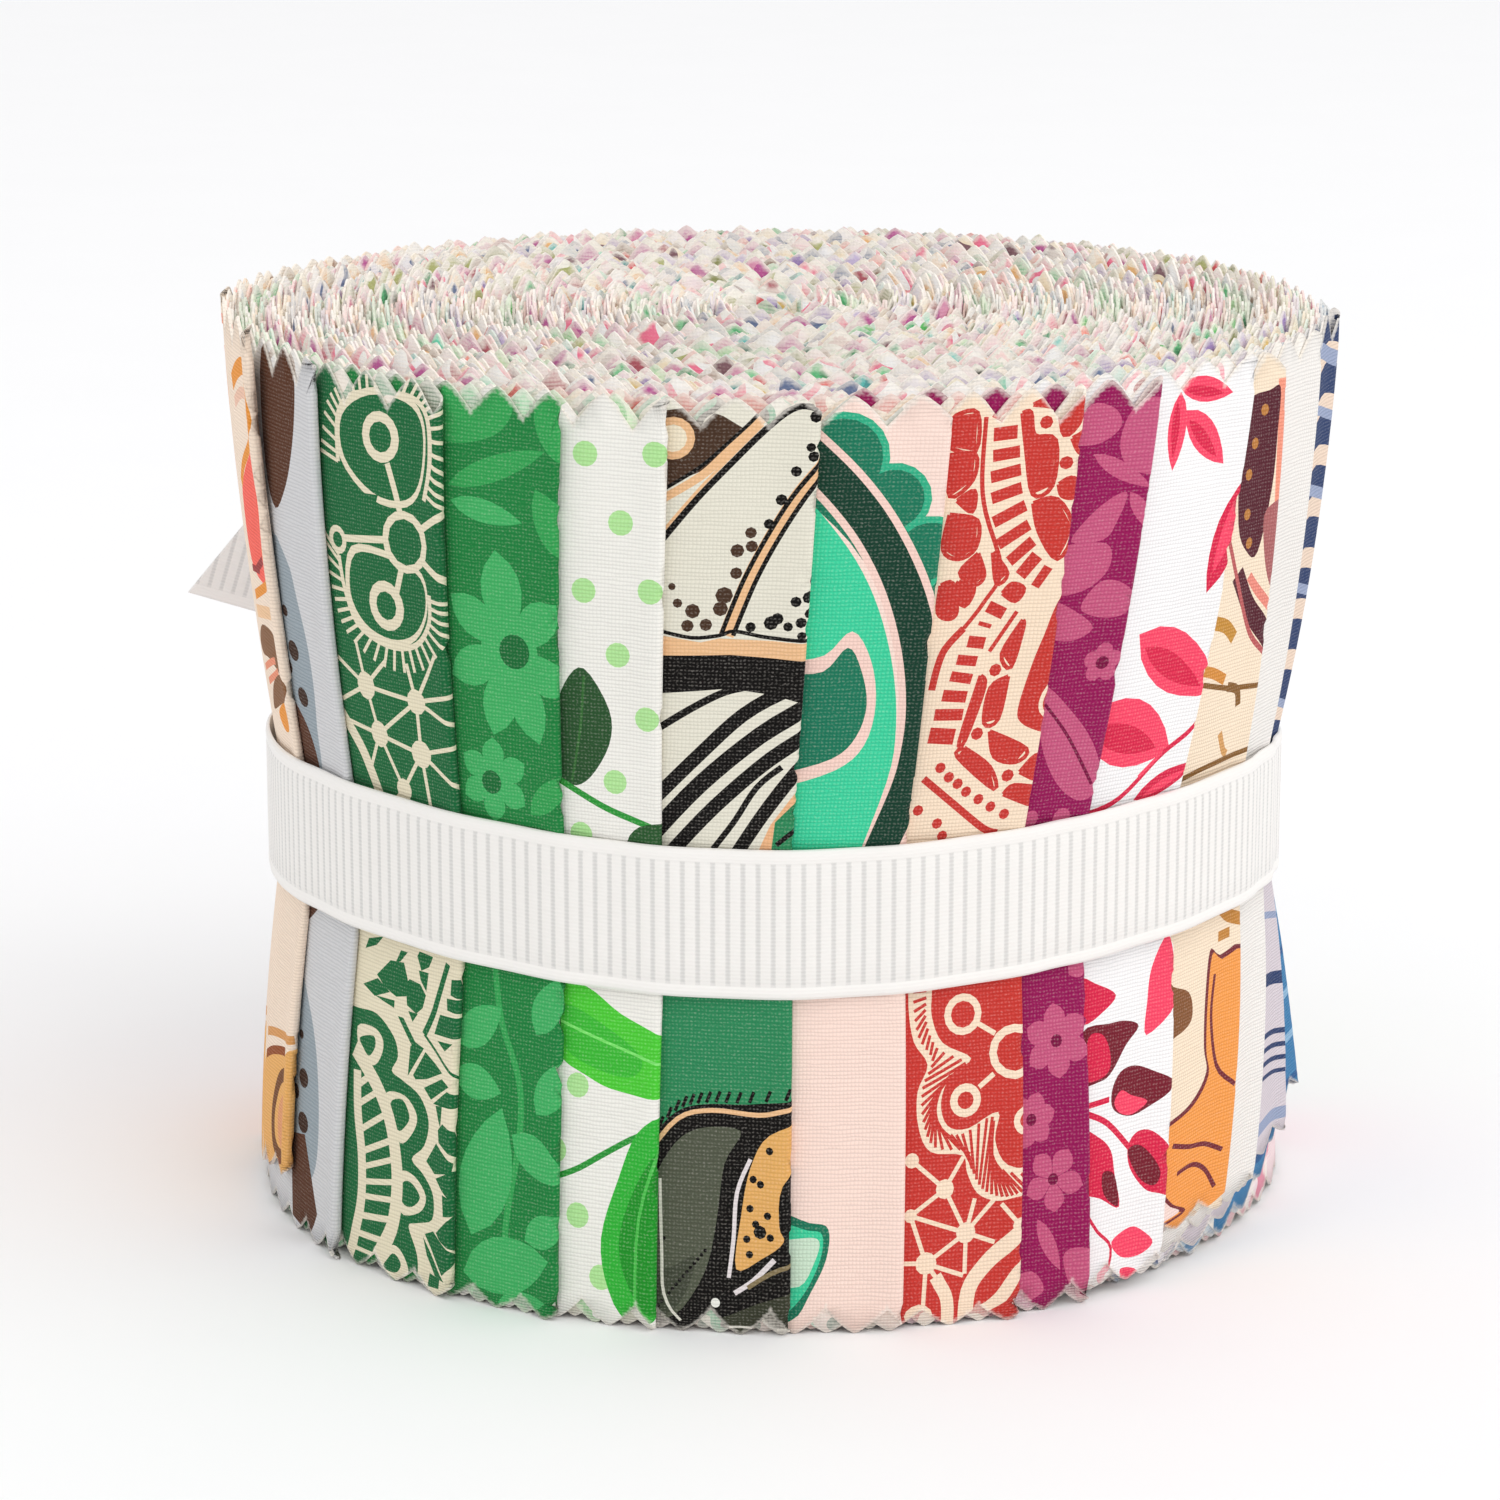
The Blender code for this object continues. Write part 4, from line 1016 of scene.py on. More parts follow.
def pinked_edge(half_length, phase, side):
    """The corners of one long edge, from one end of the strip to the other."""
    first = math.floor((-half_length - phase) / TOOTH_PITCH) - 1
    last = math.ceil((half_length - phase) / TOOTH_PITCH) + 1
    tooth = np.arange(first, last)[:, None] + np.array([0.0, 0.07, 0.21, 0.5, 0.79, 0.93])
    places = phase + TOOTH_PITCH * tooth.reshape(-1)
    fine = np.arange(places[0] - 1.0, places[-1] + 1.0, 0.5)
    along = np.interp(places, tooth_places(fine, phase), fine)
    along = along[np.abs(along) < half_length - 0.3]
    along = np.concatenate([[-half_length], along, [half_length]])
    drop = tooth_drop(along, phase)
    height = STRIP_WIDTH - drop if side == "top" else drop
    return np.stack([along, height], axis=1)


def column_places(half_length, bend_start):
    """Where the mesh has columns: close together round the fold and where the roll is tight."""
    fold = np.arange(0.0, 0.61, 0.12)
    shown = np.arange(1.2, DRAWN_OUTSIDE + 1.0, 1.0)
    middle = np.arange(shown[-1] + 2.0, bend_start, 2.0)
    tight = np.arange(middle[-1] + 1.0, half_length - 0.5, 1.0)
    return np.concatenate([fold, shown, middle, tight])


def split_at_columns(outline, columns):
    """The same outline with a point wherever it crosses a column, so that it bends with the cloth."""
    out = []
    for start, end in zip(outline, np.roll(outline, -1, axis=0)):
        out.append(start)
        low, high = sorted((start[0], end[0]))
        crossed = columns[(columns > low + 0.01) & (columns < high - 0.01)]
        if start[0] > end[0]:
            crossed = crossed[::-1]
        for place in crossed:
            out.append(start + (end - start) * (place - start[0]) / (end[0] - start[0]))
    return np.array(out)


def winding_number(points, outline):
    """How many times the outline goes round each point."""
    count = np.zeros(len(points), int)
    for (x0, z0), (x1, z1) in zip(outline, np.roll(outline, -1, axis=0)):
        if z0 == z1:
            continue
        side = (x1 - x0) * (points[:, 1] - z0) - (points[:, 0] - x0) * (z1 - z0)
        count += (z0 <= points[:, 1]) & (points[:, 1] < z1) & (side > 0)
        count -= (z1 <= points[:, 1]) & (points[:, 1] < z0) & (side < 0)
    return count


def rows_between(margin, low, middle, high):
    """Heights with one at each end of the waist, where the roll's outline turns sharply.

    Without them a layer with few rows would cut that corner and show through its neighbour.
    """
    return np.concatenate([
        np.linspace(margin, WAIST_FOOT, low + 1)[:-1],
        np.linspace(WAIST_FOOT, WAIST_TOP, middle + 1)[:-1],
        np.linspace(WAIST_TOP, STRIP_WIDTH - margin, high + 1),
    ])


def closing_edges(groups):
    """The edges that join each group's points into a ring, numbered one group after another."""
    edges = []
    start = 0
    for group in groups:
        size = len(group)
        edges += [(start + i, start + (i + 1) % size) for i in range(size)]
        start += size
    return edges


def within_cloth(strip, flat, triangles, half_length):
    """Which triangles lie between the pinked edges and have some area."""
    corner = flat[triangles]
    centre = corner.mean(axis=1)
    inside = centre[:, 1] < STRIP_WIDTH - tooth_drop(centre[:, 0], strip.phases[0])
    inside &= centre[:, 1] > tooth_drop(centre[:, 0], strip.phases[1])
    inside &= np.abs(centre[:, 0]) < half_length
    side_a = corner[:, 1] - corner[:, 0]
    side_b = corner[:, 2] - corner[:, 0]
    return inside & (side_a[:, 0] * side_b[:, 1] - side_a[:, 1] * side_b[:, 0] > LEAST_AREA)


def painted(artwork, centre):
    """The print's colour at each place, and a clear colour wherever no print is drawn."""
    colours = np.zeros((len(centre), 4))
    drawn = (centre[:, 0] > -DRAWN_OUTSIDE) & (centre[:, 0] < DRAWN_INSIDE)
    colours[drawn] = (*artwork.ground, 1.0)
    for outline, colour in artwork.shapes:
        low, high = outline.min(axis=0), outline.max(axis=0)
        near = np.flatnonzero(drawn & (centre > low).all(axis=1) & (centre < high).all(axis=1))
        covered = near[winding_number(centre[near], outline) != 0]
        colours[covered, :3] = colour
    return colours


LEAST_AREA = 1e-7
ROW_MARGIN = TOOTH_DEPTH + 0.6  # mesh rows keep this far from the cut
WIDE_ROWS = rows_between(ROW_MARGIN, 3, 1, 5)
CLOSE_ROWS = rows_between(ROW_MARGIN, 12, 6, 17)


def flat_pattern(strip, half_length, bend_start):
    """The flat cloth as triangles that follow the print: (points, triangles, a colour for each)."""
    columns = column_places(half_length, bend_start)
    columns = np.concatenate([-columns[:0:-1], columns])
    top = pinked_edge(half_length, strip.phases[0], "top")
    foot = pinked_edge(half_length, strip.phases[1], "foot")
    border = np.concatenate([foot, top[::-1]])
    groups = [split_at_columns(border, columns)]
    for outline, _ in strip.artwork.shapes:
        kept = np.clip(outline, [-DRAWN_OUTSIDE, -1.0], [DRAWN_INSIDE, STRIP_WIDTH + 1.0])
        groups.append(split_at_columns(kept, columns))
    points = list(np.concatenate(groups))
    for place in columns:
        shown = -DRAWN_OUTSIDE < place < DRAWN_INSIDE
        points += [(place, row) for row in (CLOSE_ROWS if shown else WIDE_ROWS)]
    vectors = [Vector(point) for point in points]
    found = geometry.delaunay_2d_cdt(vectors, closing_edges(groups), [], 0, 1e-3)
    flat = np.array([tuple(point) for point in found[0]])
    triangles = np.array(found[2])
    triangles = triangles[within_cloth(strip, flat, triangles, half_length)]
    colours = painted(strip.artwork, flat[triangles].mean(axis=1))
    used, triangles = np.unique(triangles, return_inverse=True)
    return flat[used], triangles.reshape(-1, 3), colours


def place_cloth(strip, flat, offset):
    """Where points of the flat cloth lie in the roll, offset towards the printed side."""
    along, height = flat.T
    pressed = np.exp(-(((height - RIBBON_HEIGHT) / PRESS_REACH) ** 2))
    puff = FOLD_BULGE * (1 - 0.8 * pressed)
    turn_radius = (LAYER_PITCH / 2 + puff) / 2
    half_turn = turn_radius * math.pi / 2
    in_turn = np.abs(along) < half_turn
    swing = np.clip(along / half_turn, -1.0, 1.0) * math.pi / 2
    distance = np.maximum(np.abs(along) - half_turn, 0.0)

    top, foot = top_share(height), foot_share(height)
    lean = strip.lean[0] * top + strip.lean[1] * foot
    lean = lean * np.exp(-((distance / LEAN_REACH) ** 2))
    angle = np.interp(distance, *strip.winding) + np.degrees(lean / ROLL_RADIUS)
    radius = arm_radius(strip.index, angle)

    outer_layer = LAYER_PITCH / 4 + puff * np.exp(-((distance / PUFF_REACH) ** 2))
    layer = np.where(along > 0, -LAYER_PITCH / 4, outer_layer)
    standing = np.where(in_turn, puff / 2 - turn_radius * np.sin(swing), layer)
    sideways = np.where(in_turn, turn_radius * (np.cos(swing) - 1.0), -turn_radius)
    free = np.clip(1.0 - distance / strip.shown, 0.0, 1.0) ** 2
    standing = standing + free * (strip.flare[0] * top**2 + strip.flare[1] * foot**2)
    standing = standing - offset * np.sin(swing)
    sideways = sideways + offset * np.cos(swing) * in_turn

    turn = np.radians(angle)
    # Slow dents and swells, the same for all layers, so that they stay apart
    swell = np.sin(3 * turn + height / 17) + 0.7 * np.sin(7 * turn - height / 11 + 1.0)
    dent = 1 + 0.0022 * swell * (radius / ROLL_RADIUS) ** 3
    core = 1 + 0.07 * np.sin(2 * turn + 0.6) * np.exp(-((radius / CORE_REACH) ** 2))
    out = radius * outline_radius(height) / ROLL_RADIUS * dent * core + standing
    x = out * np.sin(turn) + sideways * np.cos(turn)
    y = -out * np.cos(turn) + sideways * np.sin(turn)

    wound = 1 - np.exp(-((distance / WOUND_REACH) ** 2))
    ripple = np.sin(along / 23 + strip.sway[0]) + 0.6 * np.sin(along / 9 + strip.sway[1])
    proud = np.sin(along / 1.05 + strip.sway[1])
    slip = wound * (strip.slip + 0.35 * ripple + 0.2 * proud)
    pressed_foot = FOOT_PRESS * np.minimum(height / 2, 1.0) * np.clip((14 - height) / 12, 0.0, 1.0)
    z = height - pressed_foot + (strip.rise[0] * (1 - wound) + slip) * top
    lift = strip.rise[1] * np.exp(-((distance / FOOT_RISE_REACH) ** 2))
    z = z + (lift + np.abs(slip)) * foot
    return np.stack([x + AXIS[0], y + AXIS[1], z], axis=1) * MM


def closed_mesh(name, front, back, flat, triangles, colours):
    """A thin closed sheet from its two faces, with its flat places and, if given, its colours."""
    count = len(front)
    pairs = triangles[:, [0, 1, 1, 2, 2, 0]].reshape(-1, 2)
    _, first, counts = np.unique(
        np.sort(pairs, axis=1), axis=0, return_index=True, return_counts=True
    )
    rim = pairs[first[counts == 1]]
    a, b = rim.T
    quads = np.stack([b, a, a + count, b + count], axis=1)
    corners = [triangles, triangles[:, ::-1] + count, quads]
    loops = np.concatenate([part.reshape(-1) for part in corners])
    sizes = np.concatenate([np.full(len(part), part.shape[1]) for part in corners])
    starts = np.concatenate([[0], np.cumsum(sizes)[:-1]])
    kinds = np.repeat([0, 1, 1], [len(part) for part in corners])
    mesh = bpy.data.meshes.new(name)
    mesh.vertices.add(2 * count)
    mesh.vertices.foreach_set("co", np.concatenate([front, back]).astype(np.float32).ravel())
    mesh.loops.add(len(loops))
    mesh.loops.foreach_set("vertex_index", loops.astype(np.int32))
    mesh.polygons.add(len(sizes))
    mesh.polygons.foreach_set("loop_start", starts.astype(np.int32))
    mesh.polygons.foreach_set("material_index", kinds.astype(np.int32))
    mesh.polygons.foreach_set("use_smooth", sizes < 4)
    mesh.update(calc_edges=True)
    places = mesh.uv_layers.new(name="flat")
    places.data.foreach_set("uv", flat[loops % count].astype(np.float32).ravel())
    if colours is not None:
        rim_colours = colours[first[counts == 1] // 3]
        shade = mesh.color_attributes.new("print", "FLOAT_COLOR", "CORNER")
        face_colours = np.concatenate([colours, colours, rim_colours])
        corner_colours = np.repeat(face_colours, sizes, axis=0)
        shade.data.foreach_set("color", corner_colours.astype(np.float32).ravel())
    return mesh


def add_object(mesh, materials, body, *nodes):
    piece = bpy.data.objects.new(mesh.name, mesh)
    bpy.context.scene.collection.objects.link(piece)
    for material in materials:
        mesh.materials.append(material)
    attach(piece, body)
    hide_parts(*nodes)
    return piece


def build_strip(strip):
    distances, angles = strip.winding
    half_length = float(distances[-1])
    radii = arm_radius(strip.index, angles)
    bend_start = float(np.interp(-20.0, -radii, distances))
    flat, triangles, colours = flat_pattern(strip, half_length, bend_start)
    front = place_cloth(strip, flat, CLOTH_THICKNESS / 2)
    back = place_cloth(strip, flat, -CLOTH_THICKNESS / 2)
    mesh = closed_mesh(strip.name + "_cloth", front, back, flat, triangles, colours)
    materials = [cloth_material(strip, "print"), cloth_material(strip, "reverse")]
    piece = add_object(mesh, materials, "roll", strip.name)
    return piece


# ---------------------------------------------------------------------------------------------
# Materials
# ---------------------------------------------------------------------------------------------


class Nodes:
    """A material under construction, with short calls for the nodes that it needs."""

    def __init__(self, name):
        self.material = bpy.data.materials.new(name)
        self.material.use_nodes = True
        self.tree = self.material.node_tree
        self.shader = self.tree.nodes["Principled BSDF"]

    def feed(self, socket, value):
        if isinstance(value, bpy.types.NodeSocket):
            self.tree.links.new(value, socket)
        elif isinstance(value, tuple) and len(value) == 3 and socket.type == "RGBA":
            socket.default_value = (*value, 1.0)
        else:
            socket.default_value = value

    def add(self, kind, settings=None, **inputs):
        node = self.tree.nodes.new("ShaderNode" + kind)
        for key, value in (settings or {}).items():
            setattr(node, key, value)
        for key, value in inputs.items():
            self.feed(node.inputs[key.replace("_", " ")], value)
        return node

    def math(self, operation, *values):
        node = self.add("Math", {"operation": operation})
        for socket, value in zip(node.inputs, values):
            self.feed(socket, value)
        return node.outputs[0]

    def mix(self, share, first, second, blend="MIX"):
        node = self.add("Mix", {"data_type": "RGBA", "blend_type": blend})
        self.feed(node.inputs[0], share)
        self.feed(node.inputs[6], first)
        self.feed(node.inputs[7], second)
        return node.outputs[2]

    def ramp(self, value, low, high, low_out=0.0, high_out=1.0):
        node = self.add("MapRange", {"interpolation_type": "SMOOTHSTEP"})
        for socket, number in zip(node.inputs, (value, low, high, low_out, high_out)):
            self.feed(socket, number)
        return node.outputs[0]

    def noise(self, vector, scale, detail=2.0):
        node = self.add("TexNoise", Vector=vector, Scale=scale, Detail=detail)
        return node.outputs["Fac"]

    def stretched(self, vector, *factors):
        node = self.add("VectorMath", {"operation": "MULTIPLY"})
        self.feed(node.inputs[0], vector)
        self.feed(node.inputs[1], factors)
        return node.outputs[0]

    def flat_places(self):
        """(the flat cloth's coordinates, along it, up it), in millimetres."""
        places = self.add("UVMap", {"uv_map": "flat"}).outputs[0]
        split = self.add("SeparateXYZ", Vector=places)
        return places, split.outputs[0], split.outputs[1]

    def bump(self, height, strength, distance):
        node = self.add("Bump", Strength=strength, Distance=distance, Height=height)
        self.feed(self.shader.inputs["Normal"], node.outputs[0])


def weave_height(nodes, places, along, up):
    """A plain weave: 0 between the threads, 1 on top of them, with uneven threads."""
    wander = nodes.noise(nodes.stretched(places, 0.5, 2.2, 1.0), 1.0)
    wander = nodes.math("MULTIPLY", nodes.math("SUBTRACT", wander, 0.5), 0.22)
    step = math.pi / THREAD_PITCH
    warp = nodes.math("SINE", nodes.math("MULTIPLY", nodes.math("ADD", along, wander), step))
    weft = nodes.math("SINE", nodes.math("MULTIPLY", nodes.math("ADD", up, wander), step))
    warp = nodes.math("ABSOLUTE", warp)
    weft = nodes.math("ABSOLUTE", weft)
    crossing = nodes.math("MULTIPLY", warp, weft)
    ridges = nodes.math("MULTIPLY", weft, 0.45)
    return nodes.math("ADD", ridges, nodes.math("MULTIPLY", crossing, 0.55))


def from_pinked_edge(nodes, along, up, strip):
    """The distance from the nearer pinked edge, measured up the cloth."""
    found = []
    for phase, side in zip(strip.phases, ("top", "foot")):
        wander = nodes.math("SINE", nodes.math("MULTIPLY_ADD", along, 1 / 7.3, 2 * phase))
        place = nodes.math("MULTIPLY_ADD", wander, 0.35, along)
        shifted = nodes.math("ADD", place, 1000 * TOOTH_PITCH - phase)
        part = nodes.math("DIVIDE", nodes.math("PINGPONG", shifted, TOOTH_PITCH / 2), TOOTH_PITCH / 2)
        swell = nodes.math("SINE", nodes.math("MULTIPLY_ADD", along, 1 / 6.1, 2 * phase))
        depth = nodes.math("MULTIPLY_ADD", swell, 0.15 * TOOTH_DEPTH, TOOTH_DEPTH)
        drop = nodes.math("MULTIPLY", nodes.math("POWER", part, TOOTH_POWER), depth)
        inward = nodes.math("SUBTRACT", STRIP_WIDTH, up) if side == "top" else up
        found.append(nodes.math("SUBTRACT", inward, drop))
    return nodes.math("MINIMUM", *found)


RAW_WHITE = ink("fdf6ec")


def wound_ink(nodes, strip, places):
    """Blotches of the strip's colours, for the length that is wound away, lightened as painted light."""
    blotches = nodes.noise(nodes.stretched(places, 0.24, 0.26, 1.0), 1.0, 1.0)
    palette = nodes.add("ValToRGB", Fac=nodes.math("MULTIPLY_ADD", blotches, 2.6, -0.8))
    palette.color_ramp.interpolation = "CONSTANT"
    stops = palette.color_ramp.elements
    while len(stops) < len(strip.palette):
        stops.new(0.5)
    for i, colour in enumerate(strip.palette):
        stops[i].position = i / len(strip.palette)
        stops[i].color = (*colour, 1.0)
    # Painted light: the gamma lightens the blotches to make up for the shade that falls between the wound
    # layers.
    return nodes.add("Gamma", Color=palette.outputs[0], Gamma=0.62).outputs[0]


def bare_on_print(nodes, places, weave, frayed, wound_away):
    """How much raw thread shows on the printed side: at the cut, in specks and in wear, plus a painted
    highlight on the tops of the threads.
    """
    bare = nodes.ramp(frayed, 0.5, 0.05, 0.0, 0.5)
    grain = nodes.noise(nodes.stretched(places, 5.0, 7.0, 1.0), 1.0, 2.0)
    bare = nodes.math("ADD", bare, nodes.ramp(grain, 0.55, 0.8, 0.0, 0.08))
    # Painted highlight: pale where the tops of the threads would catch the light.
    thread_top_highlight = nodes.math("MULTIPLY_ADD", grain, 1.6, weave)
    bare = nodes.math("ADD", bare, nodes.ramp(thread_top_highlight, 1.35, 2.0, 0.0, 0.09))
    flecks = nodes.noise(nodes.stretched(places, 0.36, 0.5, 1.0), 1.0, 1.0)
    faded = nodes.ramp(flecks, 0.42, 0.54, 0.75, 0.06)
    return nodes.math("MULTIPLY_ADD", wound_away, faded, bare)


def bare_on_reverse(nodes, weave, fibres, frayed):
    """How much raw thread shows on the reverse, where the ink only comes through the weave."""
    through = nodes.ramp(nodes.math("ADD", weave, fibres), 0.55, 1.25, 0.3, 0.6)
    return nodes.math("MAXIMUM", through, nodes.ramp(frayed, 0.9, 0.1, 0.0, 0.75))


def cloth_material(strip, side):
    """Printed cotton: the ink on one side, and showing weakly through the weave on the other."""
    nodes = Nodes(f"{strip.name}_{side}")
    places, along, up = nodes.flat_places()
    drawn = nodes.add("VertexColor", {"layer_name": "print"})
    paler = wound_ink(nodes, strip, places)
    colour = nodes.mix(drawn.outputs["Alpha"], paler, drawn.outputs["Color"])
    wound_away = nodes.math("SUBTRACT", 1.0, drawn.outputs["Alpha"])
    weave = weave_height(nodes, places, along, up)
    fibres = nodes.noise(nodes.stretched(places, 2.4, 3.6, 1.0), 1.0, 3.0)
    wash = nodes.noise(nodes.stretched(places, 0.12, 0.12, 1.0), 1.0, 3.0)
    edge = from_pinked_edge(nodes, along, up, strip)
    loose = nodes.math("MULTIPLY", nodes.math("SUBTRACT", fibres, 0.5), 0.9)
    frayed = nodes.math("ADD", edge, loose)
    if side == "print":
        bare = bare_on_print(nodes, places, weave, frayed, wound_away)
    else:
        bare = bare_on_reverse(nodes, weave, fibres, frayed)
    colour = nodes.mix(bare, colour, RAW_WHITE)
    # Painted shade: darker between the threads and lighter on their tops. The wash below is the cloth's own
    # uneven tone.
    shade = nodes.math("MULTIPLY_ADD", weave, 0.24, 0.84)
    shade = nodes.math("MULTIPLY", shade, nodes.math("MULTIPLY_ADD", wash, 0.14, 0.93))
    # Painted light: the wound part is made up to a fifth lighter, against the shade that falls between its
    # layers.
    shade = nodes.math("MINIMUM", nodes.math("MULTIPLY_ADD", wound_away, 0.2, shade), 1.0)
    grey = nodes.add("CombineColor", Red=shade, Green=shade, Blue=shade).outputs[0]
    colour = nodes.mix(1.0, colour, grey, "MULTIPLY")
    nodes.feed(nodes.shader.inputs["Base Color"], colour)
    nodes.feed(nodes.shader.inputs["Roughness"], nodes.math("MULTIPLY_ADD", weave, -0.12, 0.92))
    nodes.shader.inputs["Sheen Weight"].default_value = 0.03
    nodes.shader.inputs["Sheen Roughness"].default_value = 0.5
    nodes.shader.inputs["Specular IOR Level"].default_value = 0.15
    nodes.bump(weave, 0.8, 0.05 * MM)
    return nodes.material


def ribbon_material():
    """White grosgrain: cords across it, with a sheer ladder between each two, and plain selvages."""
    nodes = Nodes("grosgrain")
    places, along, up = nodes.flat_places()
    from_gap = nodes.math("PINGPONG", along, RIB_PITCH / 2)
    cord = nodes.ramp(from_gap, 0.06, 0.2)
    threads = nodes.math("SINE", nodes.math("MULTIPLY", up, math.tau / THREAD_PITCH))
    threads = nodes.math("MULTIPLY_ADD", threads, 0.5, 0.5)
    selvage = nodes.ramp(nodes.math("ABSOLUTE", up), SELVAGE_START - 0.1, SELVAGE_START + 0.15)
    solid = nodes.math("MAXIMUM", cord, selvage)
    fibres = nodes.noise(nodes.stretched(places, 1.5, 5.0, 1.0), 1.0, 3.0)
    # Painted shade: the grooves between the cords are coloured darker than the cords and selvages. Their
    # sheerness comes from Alpha below.
    cloth = nodes.mix(solid, ink("e4e2df"), ink("f6f3ef"))
    cloth = nodes.mix(nodes.math("MULTIPLY", fibres, 0.15), cloth, ink("e6e3df"))
    # Painted shade: a little darker between the threads.
    cloth = nodes.mix(nodes.math("MULTIPLY_ADD", threads, -0.06, 0.06), cloth, ink("d2d0cd"))
    nodes.feed(nodes.shader.inputs["Base Color"], cloth)
    nodes.shader.inputs["Roughness"].default_value = 0.5
    nodes.shader.inputs["Sheen Weight"].default_value = 0.2
    nodes.shader.inputs["Specular IOR Level"].default_value = 0.4
    ladder = nodes.math("MULTIPLY_ADD", threads, 0.08, 0.86)
    sheer = nodes.math("MAXIMUM", nodes.math("MULTIPLY", cord, 0.97), ladder)
    nodes.feed(nodes.shader.inputs["Alpha"], nodes.math("MAXIMUM", sheer, selvage))
    nodes.bump(nodes.math("ADD", threads, fibres), 0.35, 0.04 * MM)
    return nodes.material


def floor_material():
    nodes = Nodes("pale_floor")
    spots = nodes.noise(nodes.add("TexCoord").outputs["Object"], 40.0, 4.0)
    nodes.feed(nodes.shader.inputs["Base Color"], nodes.mix(spots, FLOOR_COLOUR, FLOOR_SHADE))
    nodes.shader.inputs["Roughness"].default_value = 0.9
    nodes.shader.inputs["Specular IOR Level"].default_value = 0.1
    return nodes.material


# ---------------------------------------------------------------------------------------------
# The ribbon
# ---------------------------------------------------------------------------------------------

RIB_PITCH = 0.99
RIB_STEPS = 6
CORD_HEIGHT = 0.07
SELVAGE_HEIGHT = 0.1
SELVAGE_START = 4.1  # from the ribbon's middle line
SELVAGE_MIDDLE = 4.6
RIBBON_EDGE = 5.1
RIBBON_BASE = 0.2  # the ribbon's thickness between its cords
HALF_ROWS = [0.8, 2.4, 3.95, SELVAGE_START, 4.25, SELVAGE_MIDDLE, 4.95, RIBBON_EDGE]
RIBBON_ROWS = np.array([-row for row in reversed(HALF_ROWS)] + HALF_ROWS)
BAND_RUN = WAIST_RADIUS + 0.4  # the radius at which the band's length is taken
BAND_STANDOFF = 0.26  # from the waist to the back of the band
BAND_RISE = 1.1  # at its highest, half of RISE_SPAN either side of the front
RISE_SPAN = 110.0


def ribbon_relief(along, across):
    """How thick the ribbon is at each place: cords across it between two raised selvages."""
    cord = CORD_HEIGHT * np.abs(np.sin(math.pi * along / RIB_PITCH)) ** 0.5
    border = SELVAGE_HEIGHT * np.cos(math.pi * (np.abs(across) - SELVAGE_MIDDLE))
    edge = np.clip((RIBBON_EDGE - np.abs(across)) / 0.15, 0.35, 1.0)
    return (RIBBON_BASE + np.where(np.abs(across) < SELVAGE_START, cord, border)) * edge


def ribbon_mesh(name, centres, sideways, outward, closed=False, slant=0.0, width=None, crumple=None):
    """A ribbed ribbon along a route, given where its middle goes, which way its width runs and
    which way its face looks. width scales it from edge to edge, and crumple lifts it in pleats."""
    steps = np.linalg.norm(np.diff(centres, axis=0), axis=1)
    along = np.concatenate([[0.0], np.cumsum(steps)])
    rows = RIBBON_ROWS
    width = np.ones(len(along)) if width is None else width
    crumple = np.zeros(len(along)) if crumple is None else crumple
    share = (along / along[-1])[:, None]
    forward = np.gradient(centres, axis=0)
    forward /= np.linalg.norm(forward, axis=1, keepdims=True)
    shift = -slant * share**3 * (rows / RIBBON_WIDTH + 0.5)
    base = centres[:, None] + sideways[:, None] * (rows * width[:, None])[..., None]
    base = base + forward[:, None] * shift[..., None]
    pleats = crumple[:, None] * np.sin(rows * 1.5 + 0.8) * 0.5
    thick = ribbon_relief(along[:, None] + shift, rows)
    back = base + outward[:, None] * pleats[..., None]
    front = back + outward[:, None] * thick[..., None]
    count, size = len(along), len(rows)
    flat = np.stack(np.broadcast_arrays(along[:, None] + shift, rows), axis=2).reshape(-1, 2)
    index = np.arange(count * size).reshape(count, size)
    after = np.roll(index, -1, axis=0) if closed else index[1:]
    before = index if closed else index[:-1]
    a, b = before[:, :-1].ravel(), after[:, :-1].ravel()
    c, d = after[:, 1:].ravel(), before[:, 1:].ravel()
    triangles = np.concatenate([np.stack([a, b, c], axis=1), np.stack([a, c, d], axis=1)])
    return closed_mesh(name, front.reshape(-1, 3) * MM, back.reshape(-1, 3) * MM, flat, triangles, None)


def around(angle, radius, height):
    """Places round the roll's axis, in millimetres in the frame."""
    turn = np.radians(angle)
    height = np.broadcast_to(height, turn.shape)
    return np.stack([AXIS[0] + radius * np.sin(turn), AXIS[1] - radius * np.cos(turn), height], axis=1)


def facing(angle):
    turn = np.radians(angle)
    return np.stack([np.sin(turn), -np.cos(turn), np.zeros_like(turn)], axis=1)


def straight_up(count):
    return np.tile([0.0, 0.0, 1.0], (count, 1))


def band_rise(angle):
    """The ribbon sits a little higher either side of the front."""
    side = np.clip(np.abs(angle), 0.0, RISE_SPAN)
    return BAND_RISE * np.sin(math.pi * side / RISE_SPAN) ** 2


def build_band(material):
    """The ribbon round the waist, bridging from fold to fold."""
    ribs = round(math.tau * BAND_RUN / RIB_PITCH)
    angle = 180.0 - 360.0 * np.arange(ribs * RIB_STEPS)[::-1] / (ribs * RIB_STEPS)
    rise = band_rise(angle)
    bridge = 0.08 * np.cos(math.tau * folds_passed(angle))
    radius = WAIST_RADIUS + BAND_STANDOFF + bridge + 0.12 * rise
    centres = around(angle, radius, RIBBON_HEIGHT + rise)
    mesh = ribbon_mesh("ribbon_round_waist", centres, straight_up(len(angle)), facing(angle), closed=True)
    return add_object(mesh, [material] * 2, "ribbon", "ribbon_band")


